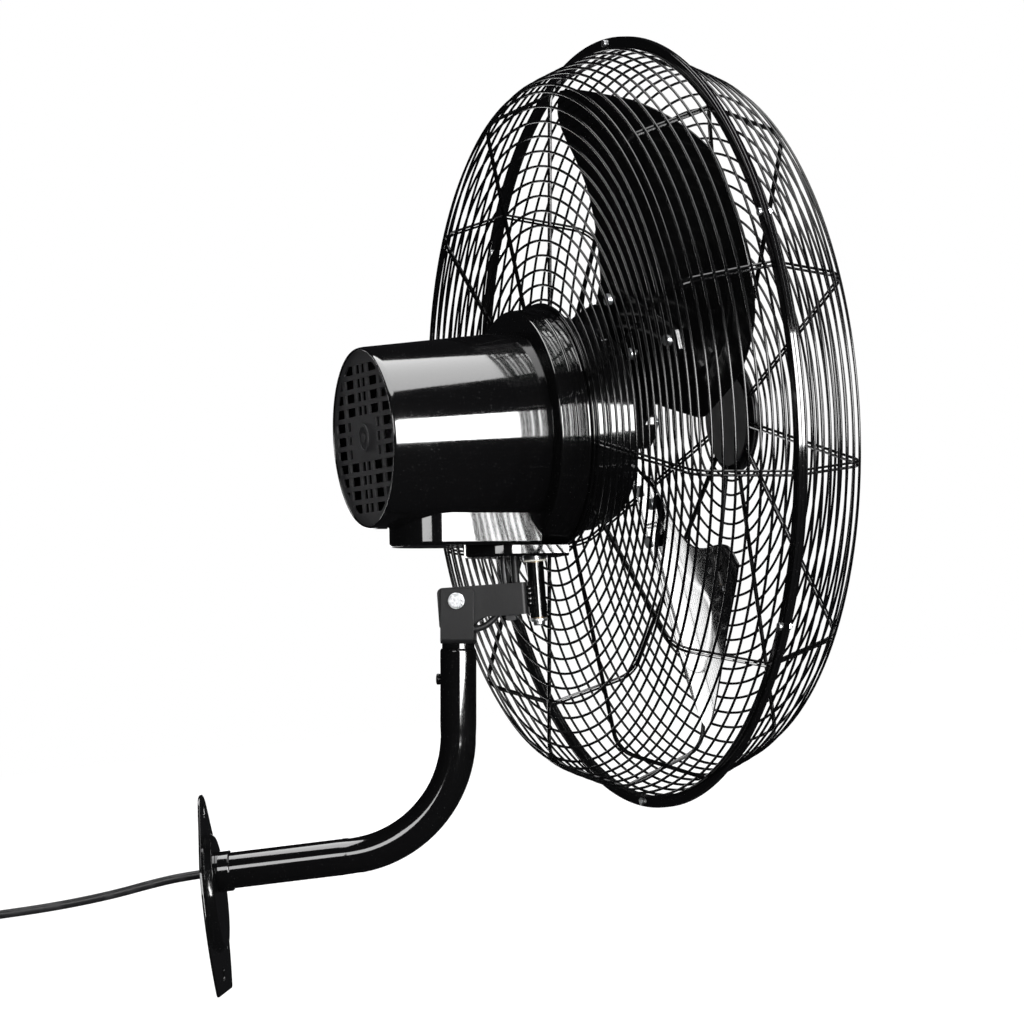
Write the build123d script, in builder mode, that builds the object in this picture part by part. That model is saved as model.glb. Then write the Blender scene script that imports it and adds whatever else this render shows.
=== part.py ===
"""Wall mounted oscillating fan: bent arm, tilting strap, swinging head, caged three-blade rotor.

Millimetres. The origin is the centre of the wall plate's two screw slots, on the plate's back face.
+Z is up, the fan stands out from the wall towards -Y, and +X is to the right of someone facing the wall.
"""
import math
import os

from build123d import *

os.makedirs("parts", exist_ok=True)

# ---------------------------------------------------------------- driving dimensions
# wall plate
PLATE_SHEET = 2.5          # pressed steel sheet
PLATE_TOP = 102.4          # tip of the rounded top ear above the origin
PLATE_BOTTOM = -103.2      # straight bottom edge
BOSS_DEPTH = 10.0          # pressed oval stands out this far
BOSS_HALF = (48.0, 65.0)   # half width and half height of the oval at its foot
SLOT_SPACING = 170.0       # wall screw slots, centre to centre
SLOT_WIDTH = 10.0
SLOT_LENGTH = 15.0

# arm
RUN_HEIGHT = 21.0          # lower run of the arm above the origin
TUBE_D = 38.0
TUBE_WALL = 2.0
ARM_REACH = 260.5          # plate back to the corner where the two runs' axes meet
BEND_RADIUS = 125.0
STEM_LEAN = 7.2            # degrees that the upper run leans away from the wall
STEM_LENGTH = 184.0        # corner to the tube's top end
BOLT_HEIGHT = 249.1        # corner to the tilt bolt, along the stem
COLLAR_D = 42.0

# tilt and swing
REST_DROP = 3.0            # degrees that the nose points down
REST_SWING = 26.2          # degrees that the head is swung to +X
PIN_FORWARD = 82.0         # tilt bolt to the swing axis
AXIS_RISE = 170.6          # tilt bolt to the fan's axis
PIVOT_D = 12.0             # swing shaft
ANCHOR_FORWARD = 61.0      # tilt bolt to the oscillator's anchor post
RUNNING = 0.05             # radial clearance of turning fits

# head, measured forward of the swing axis along the fan's axis
COVER_REAR = -178.0
DRUM_REAR = -11.0
DRUM_FRONT = 21.0
DRUM_RADII = (121.6, 125.2)
BELL_FRONT = 85.0
FLANGE_PLANE = 115.0
GUARD_RADIUS = 400.0
FLANGE_WIDTH = 12.0
FLANGE_SHEET = 3.5
WIRE = 2.7
RING_PITCH = 15.2
RIB_COUNT = 12
RIB_START = 11.0           # degrees
SCREW_START = 33.4         # degrees
BLADE_MIDDLE = 144.1       # degrees, middle line of the first blade
TRAY_SLOPE = 3.3           # degrees, tray floors drop towards the front

# supply cord
CORD_D = 9.0
CABLE_D = 6.7

# ---------------------------------------------------------------- frames
stem_frame = Location((0, -ARM_REACH, RUN_HEIGHT), (STEM_LEAN, 0, 0))
bolt_point = (stem_frame * Location((0, 0, BOLT_HEIGHT))).position
tilt_frame = Location(bolt_point, (REST_DROP, 0, 0))
pivot_frame = tilt_frame * Location((0, -PIN_FORWARD, AXIS_RISE))
head_frame = pivot_frame * Location((0, 0, 0), (0, 0, REST_SWING))
fan_frame = head_frame * Location((0, 0, 0), (90, 0, 0))
print("tilt bolt", bolt_point, "head origin", head_frame.position)


def corner_radii(points):
    """Largest tangent arcs for a cord's route: 0.45 of the shorter run at each corner."""
    radii = []
    for before, here, after in zip(points, points[1:], points[2:]):
        run_in = Vector(*here) - Vector(*before)
        run_out = Vector(*after) - Vector(*here)
        half_turn = math.radians(run_in.get_angle(run_out)) / 2
        radii.append(0.45 * min(run_in.length, run_out.length) / math.tan(half_turn))
    print("bend radii", [round(radius, 1) for radius in radii])
    return radii


# ================================================================ wall plate and arm
# pressed plate: rounded ear on top, straight foot, oval boss hollow behind, two upright slots
with BuildPart() as wall_plate:
    with BuildSketch(Plane.XZ):
        with BuildLine():
            Line((-45, PLATE_BOTTOM), (45, PLATE_BOTTOM))
            ThreePointArc((45, PLATE_BOTTOM), (64.4, -22), (57.3, 31))
            Line((57.3, 31), (21.5, 89))
            ThreePointArc((21.5, 89), (0, PLATE_TOP), (-21.5, 89))
            Line((-21.5, 89), (-57.3, 31))
            ThreePointArc((-57.3, 31), (-64.4, -22), (-45, PLATE_BOTTOM))
        make_face()
    extrude(amount=PLATE_SHEET)
    with BuildSketch(Plane.XZ):
        Ellipse(*BOSS_HALF)
    with BuildSketch(Plane.XZ.offset(BOSS_DEPTH)):
        Ellipse(BOSS_HALF[0] - 7, BOSS_HALF[1] - 7)
    loft()
    with BuildSketch(Plane.XZ.offset(-0.01)):
        Ellipse(BOSS_HALF[0] - 3, BOSS_HALF[1] - 3)
    with BuildSketch(Plane.XZ.offset(BOSS_DEPTH - PLATE_SHEET)):
        Ellipse(BOSS_HALF[0] - 9.4, BOSS_HALF[1] - 9.4)
    loft(mode=Mode.SUBTRACT)
    fillet(wall_plate.faces().sort_by(Axis.Y)[0].edges(), radius=3)
    with BuildSketch(Plane.XZ):
        with Locations((0, RUN_HEIGHT)):
            Circle(TUBE_D / 2)
    extrude(amount=BOSS_DEPTH + 1, mode=Mode.SUBTRACT)
    with BuildSketch(Plane.XZ.offset(-1)):
        with GridLocations(0, SLOT_SPACING, 1, 2):
            SlotOverall(SLOT_LENGTH, SLOT_WIDTH, rotation=90)
    extrude(amount=PLATE_SHEET + 2, mode=Mode.SUBTRACT)
    fillet(wall_plate.edges().filter_by(Axis.Y).group_by(Axis.Z)[0], radius=6)
wall_plate.part.label = "wall_plate"
export_step(wall_plate.part, "parts/wall_plate.step")

# ring welded round the tube where it leaves the boss
with BuildPart() as plate_collar:
    with BuildSketch(Plane.XZ.offset(BOSS_DEPTH)):
        with Locations((0, RUN_HEIGHT)):
            Circle(COLLAR_D / 2)
            Circle(TUBE_D / 2, mode=Mode.SUBTRACT)
    extrude(amount=14.6)
    chamfer(plate_collar.faces().sort_by(Axis.Y)[0].outer_wire().edges(), length=1.2)
plate_collar.part.label = "plate_collar"
export_step(plate_collar.part, "parts/plate_collar.step")

# one bent tube: level run out of the plate, wide bend, leaning upper run
tube_back = BOSS_DEPTH - PLATE_SHEET
stem_top = (stem_frame * Location((0, 0, STEM_LENGTH))).position
arm_corner = stem_frame.position
with BuildPart() as arm_tube:
    with BuildLine() as arm_path:
        FilletPolyline((0, -tube_back, RUN_HEIGHT), arm_corner, stem_top, radius=BEND_RADIUS)
    with BuildSketch(Plane.XZ.offset(tube_back)):
        with Locations((0, RUN_HEIGHT)):
            Circle(TUBE_D / 2)
            Circle(TUBE_D / 2 - TUBE_WALL, mode=Mode.SUBTRACT)
    sweep(path=arm_path.wires()[0])

# rubber bush that closes the tube's end and holds the cord
with BuildPart() as cord_grommet:
    with BuildSketch(Plane.XZ):
        with Locations((0, RUN_HEIGHT)):
            Circle(TUBE_D / 2 - TUBE_WALL)
            Circle(CORD_D / 2, mode=Mode.SUBTRACT)
    extrude(amount=22)
    with BuildSketch(Plane.XZ):
        with Locations((0, RUN_HEIGHT)):
            Circle(TUBE_D / 2 + 1.5)
            Circle(TUBE_D / 2 - TUBE_WALL - 1, mode=Mode.SUBTRACT)
    extrude(amount=tube_back)
    chamfer(cord_grommet.faces().sort_by(Axis.Y)[-1].edges(), length=0.8)
cord_grommet.part.label = "cord_grommet"
export_step(cord_grommet.part, "parts/cord_grommet.step")

# cable that runs on inside the arm, from the grommet to the mouth of the stem cap
cable_top = (stem_frame * Location((0, 0, 206.5))).position
with BuildPart() as arm_cable:
    with BuildLine() as cable_path:
        FilletPolyline((0, -1, RUN_HEIGHT), arm_corner, cable_top, radius=BEND_RADIUS)
    with BuildSketch(Plane.XZ.offset(1)):
        with Locations((0, RUN_HEIGHT)):
            Circle(CABLE_D / 2)
    sweep(path=cable_path.wires()[0])
arm_cable.part.label = "arm_cable"
export_step(arm_cable.part, "parts/arm_cable.step")

# turned cap on the tube's end: spigot inside the tube, collar as wide as it, neck under the clevis
with BuildPart() as stem_cap:
    with BuildSketch(Plane.XZ):
        with BuildLine():
            Polyline((6.5, 180), (6.5, 205), (17, 205), (17, 200), (16, 200))
            ThreePointArc((16, 200), (18.1, 199.1), (19, 197))
            Polyline((19, 197), (19, STEM_LENGTH), (17, STEM_LENGTH), (17, 160), (13, 160), (13, 180), (6.5, 180))
        make_face()
    revolve(axis=Axis.Z)
    with BuildSketch(Plane.XZ):
        with Locations((0, STEM_LENGTH - 15.8)):
            Circle(2.5)
    extrude(amount=-20, mode=Mode.SUBTRACT)
stem_cap.part = stem_cap.part.moved(stem_frame)
stem_cap.part.label = "stem_cap"
export_step(stem_cap.part, "parts/stem_cap.step")

# pan-head screw through the tube into the spigot, on the wall side
with BuildPart() as set_screw:
    with BuildSketch(Plane.XZ.offset(-13.2)):
        with Locations((0, STEM_LENGTH - 15.8)):
            Circle(2.5)
    extrude(amount=-6.5)
    with BuildSketch(Plane.XZ.offset(-19.05)):
        with Locations((0, STEM_LENGTH - 15.8)):
            Circle(5.7)
    extrude(amount=-3.4)
    fillet(set_screw.faces().sort_by(Axis.Y)[-1].edges(), radius=1.6)
set_screw.part = set_screw.part.moved(stem_frame)
set_screw.part.label = "set_screw"
export_step(set_screw.part, "parts/set_screw.step")
# its way through the tube, which is whole now
with BuildPart() as screw_way:
    with BuildSketch(Plane.XZ.offset(-12)):
        with Locations((0, STEM_LENGTH - 15.8)):
            Circle(2.5)
    extrude(amount=-10)
arm_tube.part = arm_tube.part - screw_way.part.moved(stem_frame)
arm_tube.part.label = "arm_tube"
export_step(arm_tube.part, "parts/arm_tube.step")

# folded U bracket: flat base on the neck, two ears that hold the tilt bolt
EAR_OUTER = 20.0
EAR_SHEET = 3.0
EAR_TOP = 261.5
CLEVIS_BASE = 205.0
with BuildPart() as clevis:
    with BuildSketch(Plane.XZ.offset(-16.6)) as u_section:
        with Locations((0, (CLEVIS_BASE + EAR_TOP) / 2)):
            Rectangle(2 * EAR_OUTER, EAR_TOP - CLEVIS_BASE)
        fillet(u_section.vertices().group_by(Axis.Y)[0], radius=5)
        with Locations((0, (CLEVIS_BASE + EAR_SHEET + EAR_TOP) / 2 + 5)):
            Rectangle(2 * (EAR_OUTER - EAR_SHEET), EAR_TOP - CLEVIS_BASE - EAR_SHEET + 10, mode=Mode.SUBTRACT)
    extrude(amount=34.5)
    fillet(clevis.edges().filter_by(Axis.X).group_by(Axis.Z)[-1], radius=4)
    with BuildSketch(Plane.YZ.offset(-30)):
        with Locations((0, BOLT_HEIGHT)):
            Circle(4)
    extrude(amount=60, mode=Mode.SUBTRACT)
    with BuildSketch(Plane.XY.offset(CLEVIS_BASE - 1)):
        Circle(6.5)
    extrude(amount=EAR_SHEET + 2, mode=Mode.SUBTRACT)
clevis.part = clevis.part.moved(stem_frame)
clevis.part.label = "clevis"
export_step(clevis.part, "parts/clevis.step")

# zinc-plated M8 bolt with its flat washer under the head, on the side that the photograph shows
with BuildPart() as tilt_bolt:
    with BuildSketch(Plane.YZ.offset(-EAR_OUTER - 1.5)):
        with Locations((0, BOLT_HEIGHT)):
            Circle(8.4)
    extrude(amount=1.5)
    with BuildSketch(Plane.YZ.offset(-EAR_OUTER - 6.8)):
        with Locations((0, BOLT_HEIGHT)):
            RegularPolygon(6.5, 6, major_radius=False)
    extrude(amount=5.3)
    with BuildSketch(Plane.YZ.offset(-EAR_OUTER - 2)):
        with Locations((0, BOLT_HEIGHT)):
            Circle(4)
    extrude(amount=2 * EAR_OUTER + 14)
tilt_bolt.part = tilt_bolt.part.moved(stem_frame)
tilt_bolt.part.label = "tilt_bolt"
export_step(tilt_bolt.part, "parts/tilt_bolt.step")

# hexagon nut with a washer face on the far ear
with BuildPart() as tilt_nut:
    with BuildSketch(Plane.YZ.offset(EAR_OUTER)):
        with Locations((0, BOLT_HEIGHT)):
            Circle(8.4)
            Circle(4, mode=Mode.SUBTRACT)
    extrude(amount=1.5)
    with BuildSketch(Plane.YZ.offset(EAR_OUTER + 1.5)):
        with Locations((0, BOLT_HEIGHT)):
            RegularPolygon(6.5, 6, major_radius=False)
            Circle(4, mode=Mode.SUBTRACT)
    extrude(amount=6.8)
tilt_nut.part = tilt_nut.part.moved(stem_frame)
tilt_nut.part.label = "tilt_nut"
export_step(tilt_nut.part, "parts/tilt_nut.step")

# ================================================================ tilting strap
# strap bent to a U: two side plates between the clevis ears, joined by the web in front
ARM_OUTER = 16.5
ARM_SHEET = 3.0
ARM_TOP = 14.1
ARM_BOTTOM = -18.6
WEB_FRONT = PIN_FORWARD - 8.8
REAR_END = 19.7
with BuildPart() as tilt_arm:
    with BuildSketch(Plane.XY.offset(-30)) as strap_plan:
        with Locations((0, (REAR_END - WEB_FRONT) / 2)):
            Rectangle(2 * ARM_OUTER, REAR_END + WEB_FRONT)
        fillet(strap_plan.vertices().group_by(Axis.Y)[0], radius=6)
        with Locations((0, (REAR_END - WEB_FRONT) / 2 + ARM_SHEET)):
            Rectangle(2 * (ARM_OUTER - ARM_SHEET), REAR_END + WEB_FRONT, mode=Mode.SUBTRACT)
    extrude(amount=30 + ARM_TOP)
    with BuildSketch(Plane.YZ.offset(-30)):
        with BuildLine():
            Polyline((-WEB_FRONT - 5, -35), (-WEB_FRONT - 5, ARM_BOTTOM), (-27, ARM_BOTTOM), (-19, -23),
                     (-12, -30), (-12, -35), (-WEB_FRONT - 5, -35))
        make_face()
    extrude(amount=60, mode=Mode.SUBTRACT)
    fillet(tilt_arm.edges().filter_by(Axis.X).group_by(Axis.Y)[-1], radius=6)
    with BuildSketch(Plane.YZ.offset(-30)):
        Circle(4 + RUNNING)
    extrude(amount=60, mode=Mode.SUBTRACT)
tilt_arm.part = tilt_arm.part.moved(tilt_frame)
tilt_arm.part.label = "tilt_arm"
export_step(tilt_arm.part, "parts/tilt_arm.step")

# bridge between the side plates with the fixed post that the oscillator's link pulls on
LINK_BOTTOM = -126.5 + AXIS_RISE
LINK_SHEET = 3.0
with BuildPart() as anchor_post:
    with BuildSketch(Plane.XY.offset(ARM_TOP - 3)):
        with Locations((0, -(WEB_FRONT - ARM_SHEET + 54) / 2)):
            Rectangle(2 * (ARM_OUTER - ARM_SHEET), WEB_FRONT - ARM_SHEET - 54)
    extrude(amount=3)
    with BuildSketch(Plane.XY.offset(ARM_TOP)):
        with Locations((0, -ANCHOR_FORWARD)):
            Circle(4)
    extrude(amount=LINK_BOTTOM - ARM_TOP - 0.1)
    with BuildSketch(Plane.XY.offset(LINK_BOTTOM - 0.1)):
        with Locations((0, -ANCHOR_FORWARD)):
            Circle(2.5)
    extrude(amount=LINK_SHEET + 0.1)
anchor_post.part = anchor_post.part.moved(tilt_frame)
anchor_post.part.label = "anchor_post"
export_step(anchor_post.part, "parts/anchor_post.step")

# upright tube that the head turns in, welded to the web
PIVOT_TOP = AXIS_RISE - 136.1
PIVOT_BOTTOM = AXIS_RISE - 194.9
BUSH_D = 15.0
BUSH_LENGTH = 12.0
with BuildPart() as pivot_tube:
    with BuildSketch(Plane.XY.offset(PIVOT_BOTTOM + 1.2)):
        with Locations((0, -PIN_FORWARD)):
            Circle(8.8)
            Circle(BUSH_D / 2, mode=Mode.SUBTRACT)
    extrude(amount=PIVOT_TOP - PIVOT_BOTTOM - 2.4)
    with BuildSketch(Plane.XY.offset(ARM_BOTTOM + 1)):
        with Locations((0, -WEB_FRONT - 1.5)):
            Rectangle(13, 3)
        with Locations((0, -PIN_FORWARD)):
            Circle(8.4, mode=Mode.SUBTRACT)
    extrude(amount=ARM_TOP - ARM_BOTTOM - 2)
pivot_tube.part = pivot_tube.part.moved(tilt_frame)
pivot_tube.part.label = "pivot_tube"
export_step(pivot_tube.part, "parts/pivot_tube.step")

# two flanged bushes pressed into the tube's ends
with BuildPart() as pivot_bushes:
    for mouth, inward in ((PIVOT_TOP, -1), (PIVOT_BOTTOM, 1)):
        with BuildSketch(Plane.XY.offset(mouth)):
            with Locations((0, -PIN_FORWARD)):
                Circle(8.8)
                Circle(PIVOT_D / 2 + RUNNING, mode=Mode.SUBTRACT)
        extrude(amount=inward * 1.2)
        with BuildSketch(Plane.XY.offset(mouth)):
            with Locations((0, -PIN_FORWARD)):
                Circle(BUSH_D / 2)
                Circle(PIVOT_D / 2 + RUNNING, mode=Mode.SUBTRACT)
        extrude(amount=inward * BUSH_LENGTH)
pivot_bushes.part = pivot_bushes.part.moved(tilt_frame)
pivot_bushes.part.label = "pivot_bushes"
export_step(pivot_bushes.part, "parts/pivot_bushes.step")

# nylon washer that carries the head's weight
with BuildPart() as thrust_washer:
    with BuildSketch(Plane.XY.offset(PIVOT_TOP)):
        with Locations((0, -PIN_FORWARD)):
            Circle(11.5)
            Circle(PIVOT_D / 2 + 0.3, mode=Mode.SUBTRACT)
    extrude(amount=1.5)
thrust_washer.part = thrust_washer.part.moved(tilt_frame)
thrust_washer.part.label = "thrust_washer"
export_step(thrust_washer.part, "parts/thrust_washer.step")

# small rounded clip under the strap that guides the cable
with BuildPart() as cable_clip:
    with BuildSketch(Plane.YZ.offset(-12)):
        with Locations((-54, ARM_BOTTOM - 2.9)):
            RectangleRounded(10, 5.8, 2.2)
    extrude(amount=24)
    with BuildSketch(Plane.XY.offset(ARM_BOTTOM)):
        with Locations((-12.5, -54), (12.5, -54)):
            Rectangle(2, 8)
    extrude(amount=6)
cable_clip.part = cable_clip.part.moved(tilt_frame)
cable_clip.part.label = "cable_clip"
export_step(cable_clip.part, "parts/cable_clip.step")

# cable from the stem cap's mouth, out between the ears and along inside the strap
stem_to_tilt = tilt_frame.inverse() * stem_frame
mouth = (stem_to_tilt * Location((0, 0, 208))).position
clevis_route = [tuple(mouth), (0, -3, -29), (0.5, -20, -31), (1.5, -34, -24), (2, -43, -13)]
with BuildPart() as clevis_cable:
    with BuildLine() as clevis_cable_path:
        FilletPolyline(*clevis_route, radius=corner_radii(clevis_route))
    with BuildSketch(Plane(clevis_route[0], z_dir=clevis_cable_path.wires()[0] % 0)):
        Circle(CABLE_D / 2)
    sweep(path=clevis_cable_path.wires()[0])
clevis_cable.part = clevis_cable.part.moved(tilt_frame)
clevis_cable.part.label = "clevis_cable"
export_step(clevis_cable.part, "parts/clevis_cable.step")

# its last stretch, up from the strap into the gland under the lower tray
GLAND_HEAD = Vector(20, 27, -130.6)
head_to_tilt = tilt_frame.inverse() * head_frame
gland_point = (head_to_tilt * Location(tuple(GLAND_HEAD))).position
gland_below = (head_to_tilt * Location((GLAND_HEAD.X, GLAND_HEAD.Y, GLAND_HEAD.Z - 14))).position
head_route = [clevis_route[-1], (3, -49, -1), (4.5, -50, 12), tuple(gland_below), tuple(gland_point)]
with BuildPart() as head_cable:
    with BuildLine() as head_cable_path:
        FilletPolyline(*head_route, radius=corner_radii(head_route))
    with BuildSketch(Plane(head_route[0], z_dir=head_cable_path.wires()[0] % 0)):
        Circle(CABLE_D / 2)
    sweep(path=head_cable_path.wires()[0])
head_cable.part = head_cable.part.moved(tilt_frame)
head_cable.part.label = "head_cable"
export_step(head_cable.part, "parts/head_cable.step")

# ================================================================ swinging head: trays and oscillator
# shaft with the shoulder that stands on the thrust washer
with BuildPart() as pivot_shaft:
    with BuildSketch(Plane.XY.offset(-202)):
        Circle(PIVOT_D / 2)
    extrude(amount=202 - 108)
    chamfer(pivot_shaft.faces().sort_by(Axis.Z)[0].edges(), length=1)
    with BuildSketch(Plane.XY.offset(-134.55)):
        Circle(12)
    extrude(amount=14.5)
pivot_shaft.part = pivot_shaft.part.moved(head_frame)
pivot_shaft.part.label = "pivot_shaft"
export_step(pivot_shaft.part, "parts/pivot_shaft.step")

# washer and spring clip under the pivot tube
with BuildPart() as shaft_clip:
    with BuildSketch(Plane.XY.offset(-196.6)):
        Circle(9.5)
        Circle(PIVOT_D / 2, mode=Mode.SUBTRACT)
    extrude(amount=1.3)
    with BuildSketch(Plane.XY.offset(-198)):
        Circle(8.2)
        Circle(PIVOT_D / 2, mode=Mode.SUBTRACT)
    extrude(amount=1.4)
shaft_clip.part = shaft_clip.part.moved(head_frame)
shaft_clip.part.label = "shaft_clip"
export_step(shaft_clip.part, "parts/shaft_clip.step")

# profile of the motor cover's outside, radius against distance forward
COVER_OUTSIDE = ((92.0, COVER_REAR), (96.0, -102.0), (99.5, -38.0), (101.0, DRUM_REAR))
COVER_WALL = 2.5
CRANK_CENTRE = (-24.4, 29.1)
upper_floor = Location((0, 0, -120.5), (TRAY_SLOPE, 0, 0))
lower_floor = Location((0, 0, -132.0), (TRAY_SLOPE, 0, 0))


def tray_outline(half_width, rear, front):
    """Plan of a tray: half round at the rear, square at the front."""
    with BuildSketch() as outline:
        with BuildLine():
            ThreePointArc((half_width, rear - half_width), (0, rear), (-half_width, rear - half_width))
            Polyline((-half_width, rear - half_width), (-half_width, front), (half_width, front),
                     (half_width, rear - half_width))
        make_face()
    return outline.sketch


# upper tray: its walls rise to the underside of the motor cover
with BuildPart() as gearbox_cover:
    with BuildSketch(Plane(upper_floor)) as upper_plan:
        add(tray_outline(50, 156, -DRUM_REAR))
    extrude(amount=48)
    fillet(gearbox_cover.faces().sort_by(Axis.Z)[0].edges().filter_by(Axis.X, reverse=True), radius=4)
    with BuildSketch(Plane(upper_floor).offset(2)):
        add(tray_outline(48, 154, -DRUM_REAR + 2))
    extrude(amount=60, mode=Mode.SUBTRACT)
    with BuildSketch(Plane.XY.offset(-118.4)):
        with Locations(CRANK_CENTRE):
            Circle(17.5)
    extrude(amount=2.9)
    with BuildSketch(Plane.XY):
        with BuildLine():
            Polyline((0, 200), (COVER_OUTSIDE[0][0], 200), *[(r, -f) for r, f in COVER_OUTSIDE], (0, -DRUM_REAR),
                     (0, 200))
        make_face()
    revolve(axis=Axis.Y, mode=Mode.SUBTRACT)
    with BuildSketch(Plane.XZ.offset(DRUM_REAR)):
        Rectangle(300, 300)
    extrude(amount=40, mode=Mode.SUBTRACT)
    with BuildSketch(Plane.XY.offset(-130)):
        with Locations(CRANK_CENTRE):
            Circle(6)
    extrude(amount=20, mode=Mode.SUBTRACT)
    with BuildSketch(Plane.XY.offset(-130)):
        with Locations((30, 60)):
            Circle(8)
    extrude(amount=20, mode=Mode.SUBTRACT)
gearbox_cover.part = gearbox_cover.part.moved(head_frame)
gearbox_cover.part.label = "gearbox_cover"
export_step(gearbox_cover.part, "parts/gearbox_cover.step")

# lower tray: shallow pan under the upper one, with the arc slot that the anchor post passes through
ANCHOR_RADIUS = PIN_FORWARD - ANCHOR_FORWARD
with BuildPart() as oscillator_tray:
    with BuildSketch(Plane(lower_floor)):
        add(tray_outline(45, 74, -20))
    extrude(amount=30)
    fillet(oscillator_tray.faces().sort_by(Axis.Z)[0].edges().filter_by(Axis.X, reverse=True), radius=3)
    with BuildSketch(Plane(lower_floor).offset(1.6)):
        add(tray_outline(43.4, 72.4, -18.4))
    extrude(amount=40, mode=Mode.SUBTRACT)
    with BuildSketch(Plane(upper_floor)):
        Rectangle(200, 400)
    extrude(amount=60, mode=Mode.SUBTRACT)
    with BuildSketch(Plane.XY):
        with BuildLine():
            Polyline((0, -DRUM_REAR), (DRUM_RADII[0], -DRUM_REAR), (DRUM_RADII[1], -DRUM_FRONT),
                     (DRUM_RADII[1], -60), (0, -60), (0, -DRUM_REAR))
        make_face()
    revolve(axis=Axis.Y, mode=Mode.SUBTRACT)
    with BuildSketch(Plane.XY.offset(-140)):
        Circle(ANCHOR_RADIUS + 6)
        Circle(ANCHOR_RADIUS - 6, mode=Mode.SUBTRACT)
        with BuildLine():
            Polyline((0, 0), (-60, 42), (-60, 80), (60, 80), (60, 42), (0, 0))
        make_face(mode=Mode.INTERSECT)
    extrude(amount=20, mode=Mode.SUBTRACT)
    with BuildSketch(Plane.XY.offset(-140)):
        Circle(12)
        with Locations((GLAND_HEAD.X, GLAND_HEAD.Y)):
            Circle(5)
    extrude(amount=20, mode=Mode.SUBTRACT)
oscillator_tray.part = oscillator_tray.part.moved(head_frame)
oscillator_tray.part.label = "oscillator_tray"
export_step(oscillator_tray.part, "parts/oscillator_tray.step")

# rubber gland where the cable enters the lower tray
with BuildPart() as cable_gland:
    with BuildSketch(Plane(lower_floor).offset(-1.2)):
        with Locations((GLAND_HEAD.X, GLAND_HEAD.Y)):
            Circle(6)
    extrude(amount=1.2)
    with BuildSketch(Plane(lower_floor).offset(1.6)):
        with Locations((GLAND_HEAD.X, GLAND_HEAD.Y)):
            Circle(6)
    extrude(amount=1)
    with BuildSketch(Plane(lower_floor).offset(-1)):
        with Locations((GLAND_HEAD.X, GLAND_HEAD.Y + 0.3)):
            Circle(4.6)
    extrude(amount=3)
    with BuildSketch(Plane.XY.offset(GLAND_HEAD.Z)):
        with Locations((GLAND_HEAD.X, GLAND_HEAD.Y)):
            Circle(CABLE_D / 2)
    extrude(amount=-12, mode=Mode.SUBTRACT)
cable_gland.part = cable_gland.part.moved(head_frame)
cable_gland.part.label = "cable_gland"
export_step(cable_gland.part, "parts/cable_gland.step")

# flat geared motor on the raised pad of the upper tray
with BuildPart() as gear_motor:
    with BuildSketch(Plane.XY.offset(-115.5)):
        with Locations(CRANK_CENTRE):
            Circle(17.2)
    extrude(amount=14.5)
    fillet(gear_motor.faces().sort_by(Axis.Z)[-1].edges(), radius=3)
    with BuildSketch(Plane.XY.offset(-115.5)):
        with Locations(CRANK_CENTRE):
            Circle(3 + RUNNING)
    extrude(amount=6, mode=Mode.SUBTRACT)
gear_motor.part = gear_motor.part.moved(head_frame)
gear_motor.part.label = "gear_motor"
export_step(gear_motor.part, "parts/gear_motor.step")

# crank disc on the gear motor's output shaft, with the short crank pin under it
CRANK_RADIUS = 11.55
CRANK_PIN = Vector(-14.4, 34.8, 0)
with BuildPart() as crank_disc:
    with BuildSketch(Plane.XY.offset(-122.9)):
        with Locations(CRANK_CENTRE):
            Circle(15.5)
    extrude(amount=2.4)
    with BuildSketch(Plane.XY.offset(-122.9)):
        with Locations(CRANK_CENTRE):
            Circle(3)
    extrude(amount=12.9)
    with BuildSketch(Plane.XY.offset(-123.15)):
        with Locations((CRANK_PIN.X, CRANK_PIN.Y)):
            Circle(3)
    extrude(amount=0.3)
crank_disc.part = crank_disc.part.moved(head_frame)
crank_disc.part.label = "crank_disc"
export_step(crank_disc.part, "parts/crank_disc.step")

# link from the anchor post to the crank pin, an eye at each end
anchor_in_head = (head_frame.inverse() * tilt_frame * Location((0, -ANCHOR_FORWARD, 0))).position
anchor_eye = Vector(anchor_in_head.X, anchor_in_head.Y, 0)
link_direction = CRANK_PIN - anchor_eye
print("link length", link_direction.length)
with BuildPart() as oscillator_link:
    with BuildSketch(Plane.XY.offset(LINK_BOTTOM - AXIS_RISE)):
        with Locations(anchor_eye, CRANK_PIN):
            Circle(5)
        with Locations((anchor_eye + CRANK_PIN) * 0.5):
            Rectangle(link_direction.length, 7, rotation=math.degrees(math.atan2(link_direction.Y, link_direction.X)))
        with Locations(anchor_eye):
            Circle(2.5 + RUNNING, mode=Mode.SUBTRACT)
        with Locations(CRANK_PIN):
            Circle(3 + RUNNING, mode=Mode.SUBTRACT)
    extrude(amount=LINK_SHEET)
oscillator_link.part = oscillator_link.part.moved(head_frame)
oscillator_link.part.label = "oscillator_link"
export_step(oscillator_link.part, "parts/oscillator_link.step")

# run capacitor, a sealed block on the rear floor of the upper tray
with BuildPart() as capacitor:
    with BuildSketch(Plane(upper_floor).offset(2)):
        with Locations((0, 118)):
            RectangleRounded(48, 28, 4)
    extrude(amount=12)
capacitor.part = capacitor.part.moved(head_frame)
capacitor.part.label = "capacitor"
export_step(capacitor.part, "parts/capacitor.step")

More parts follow.
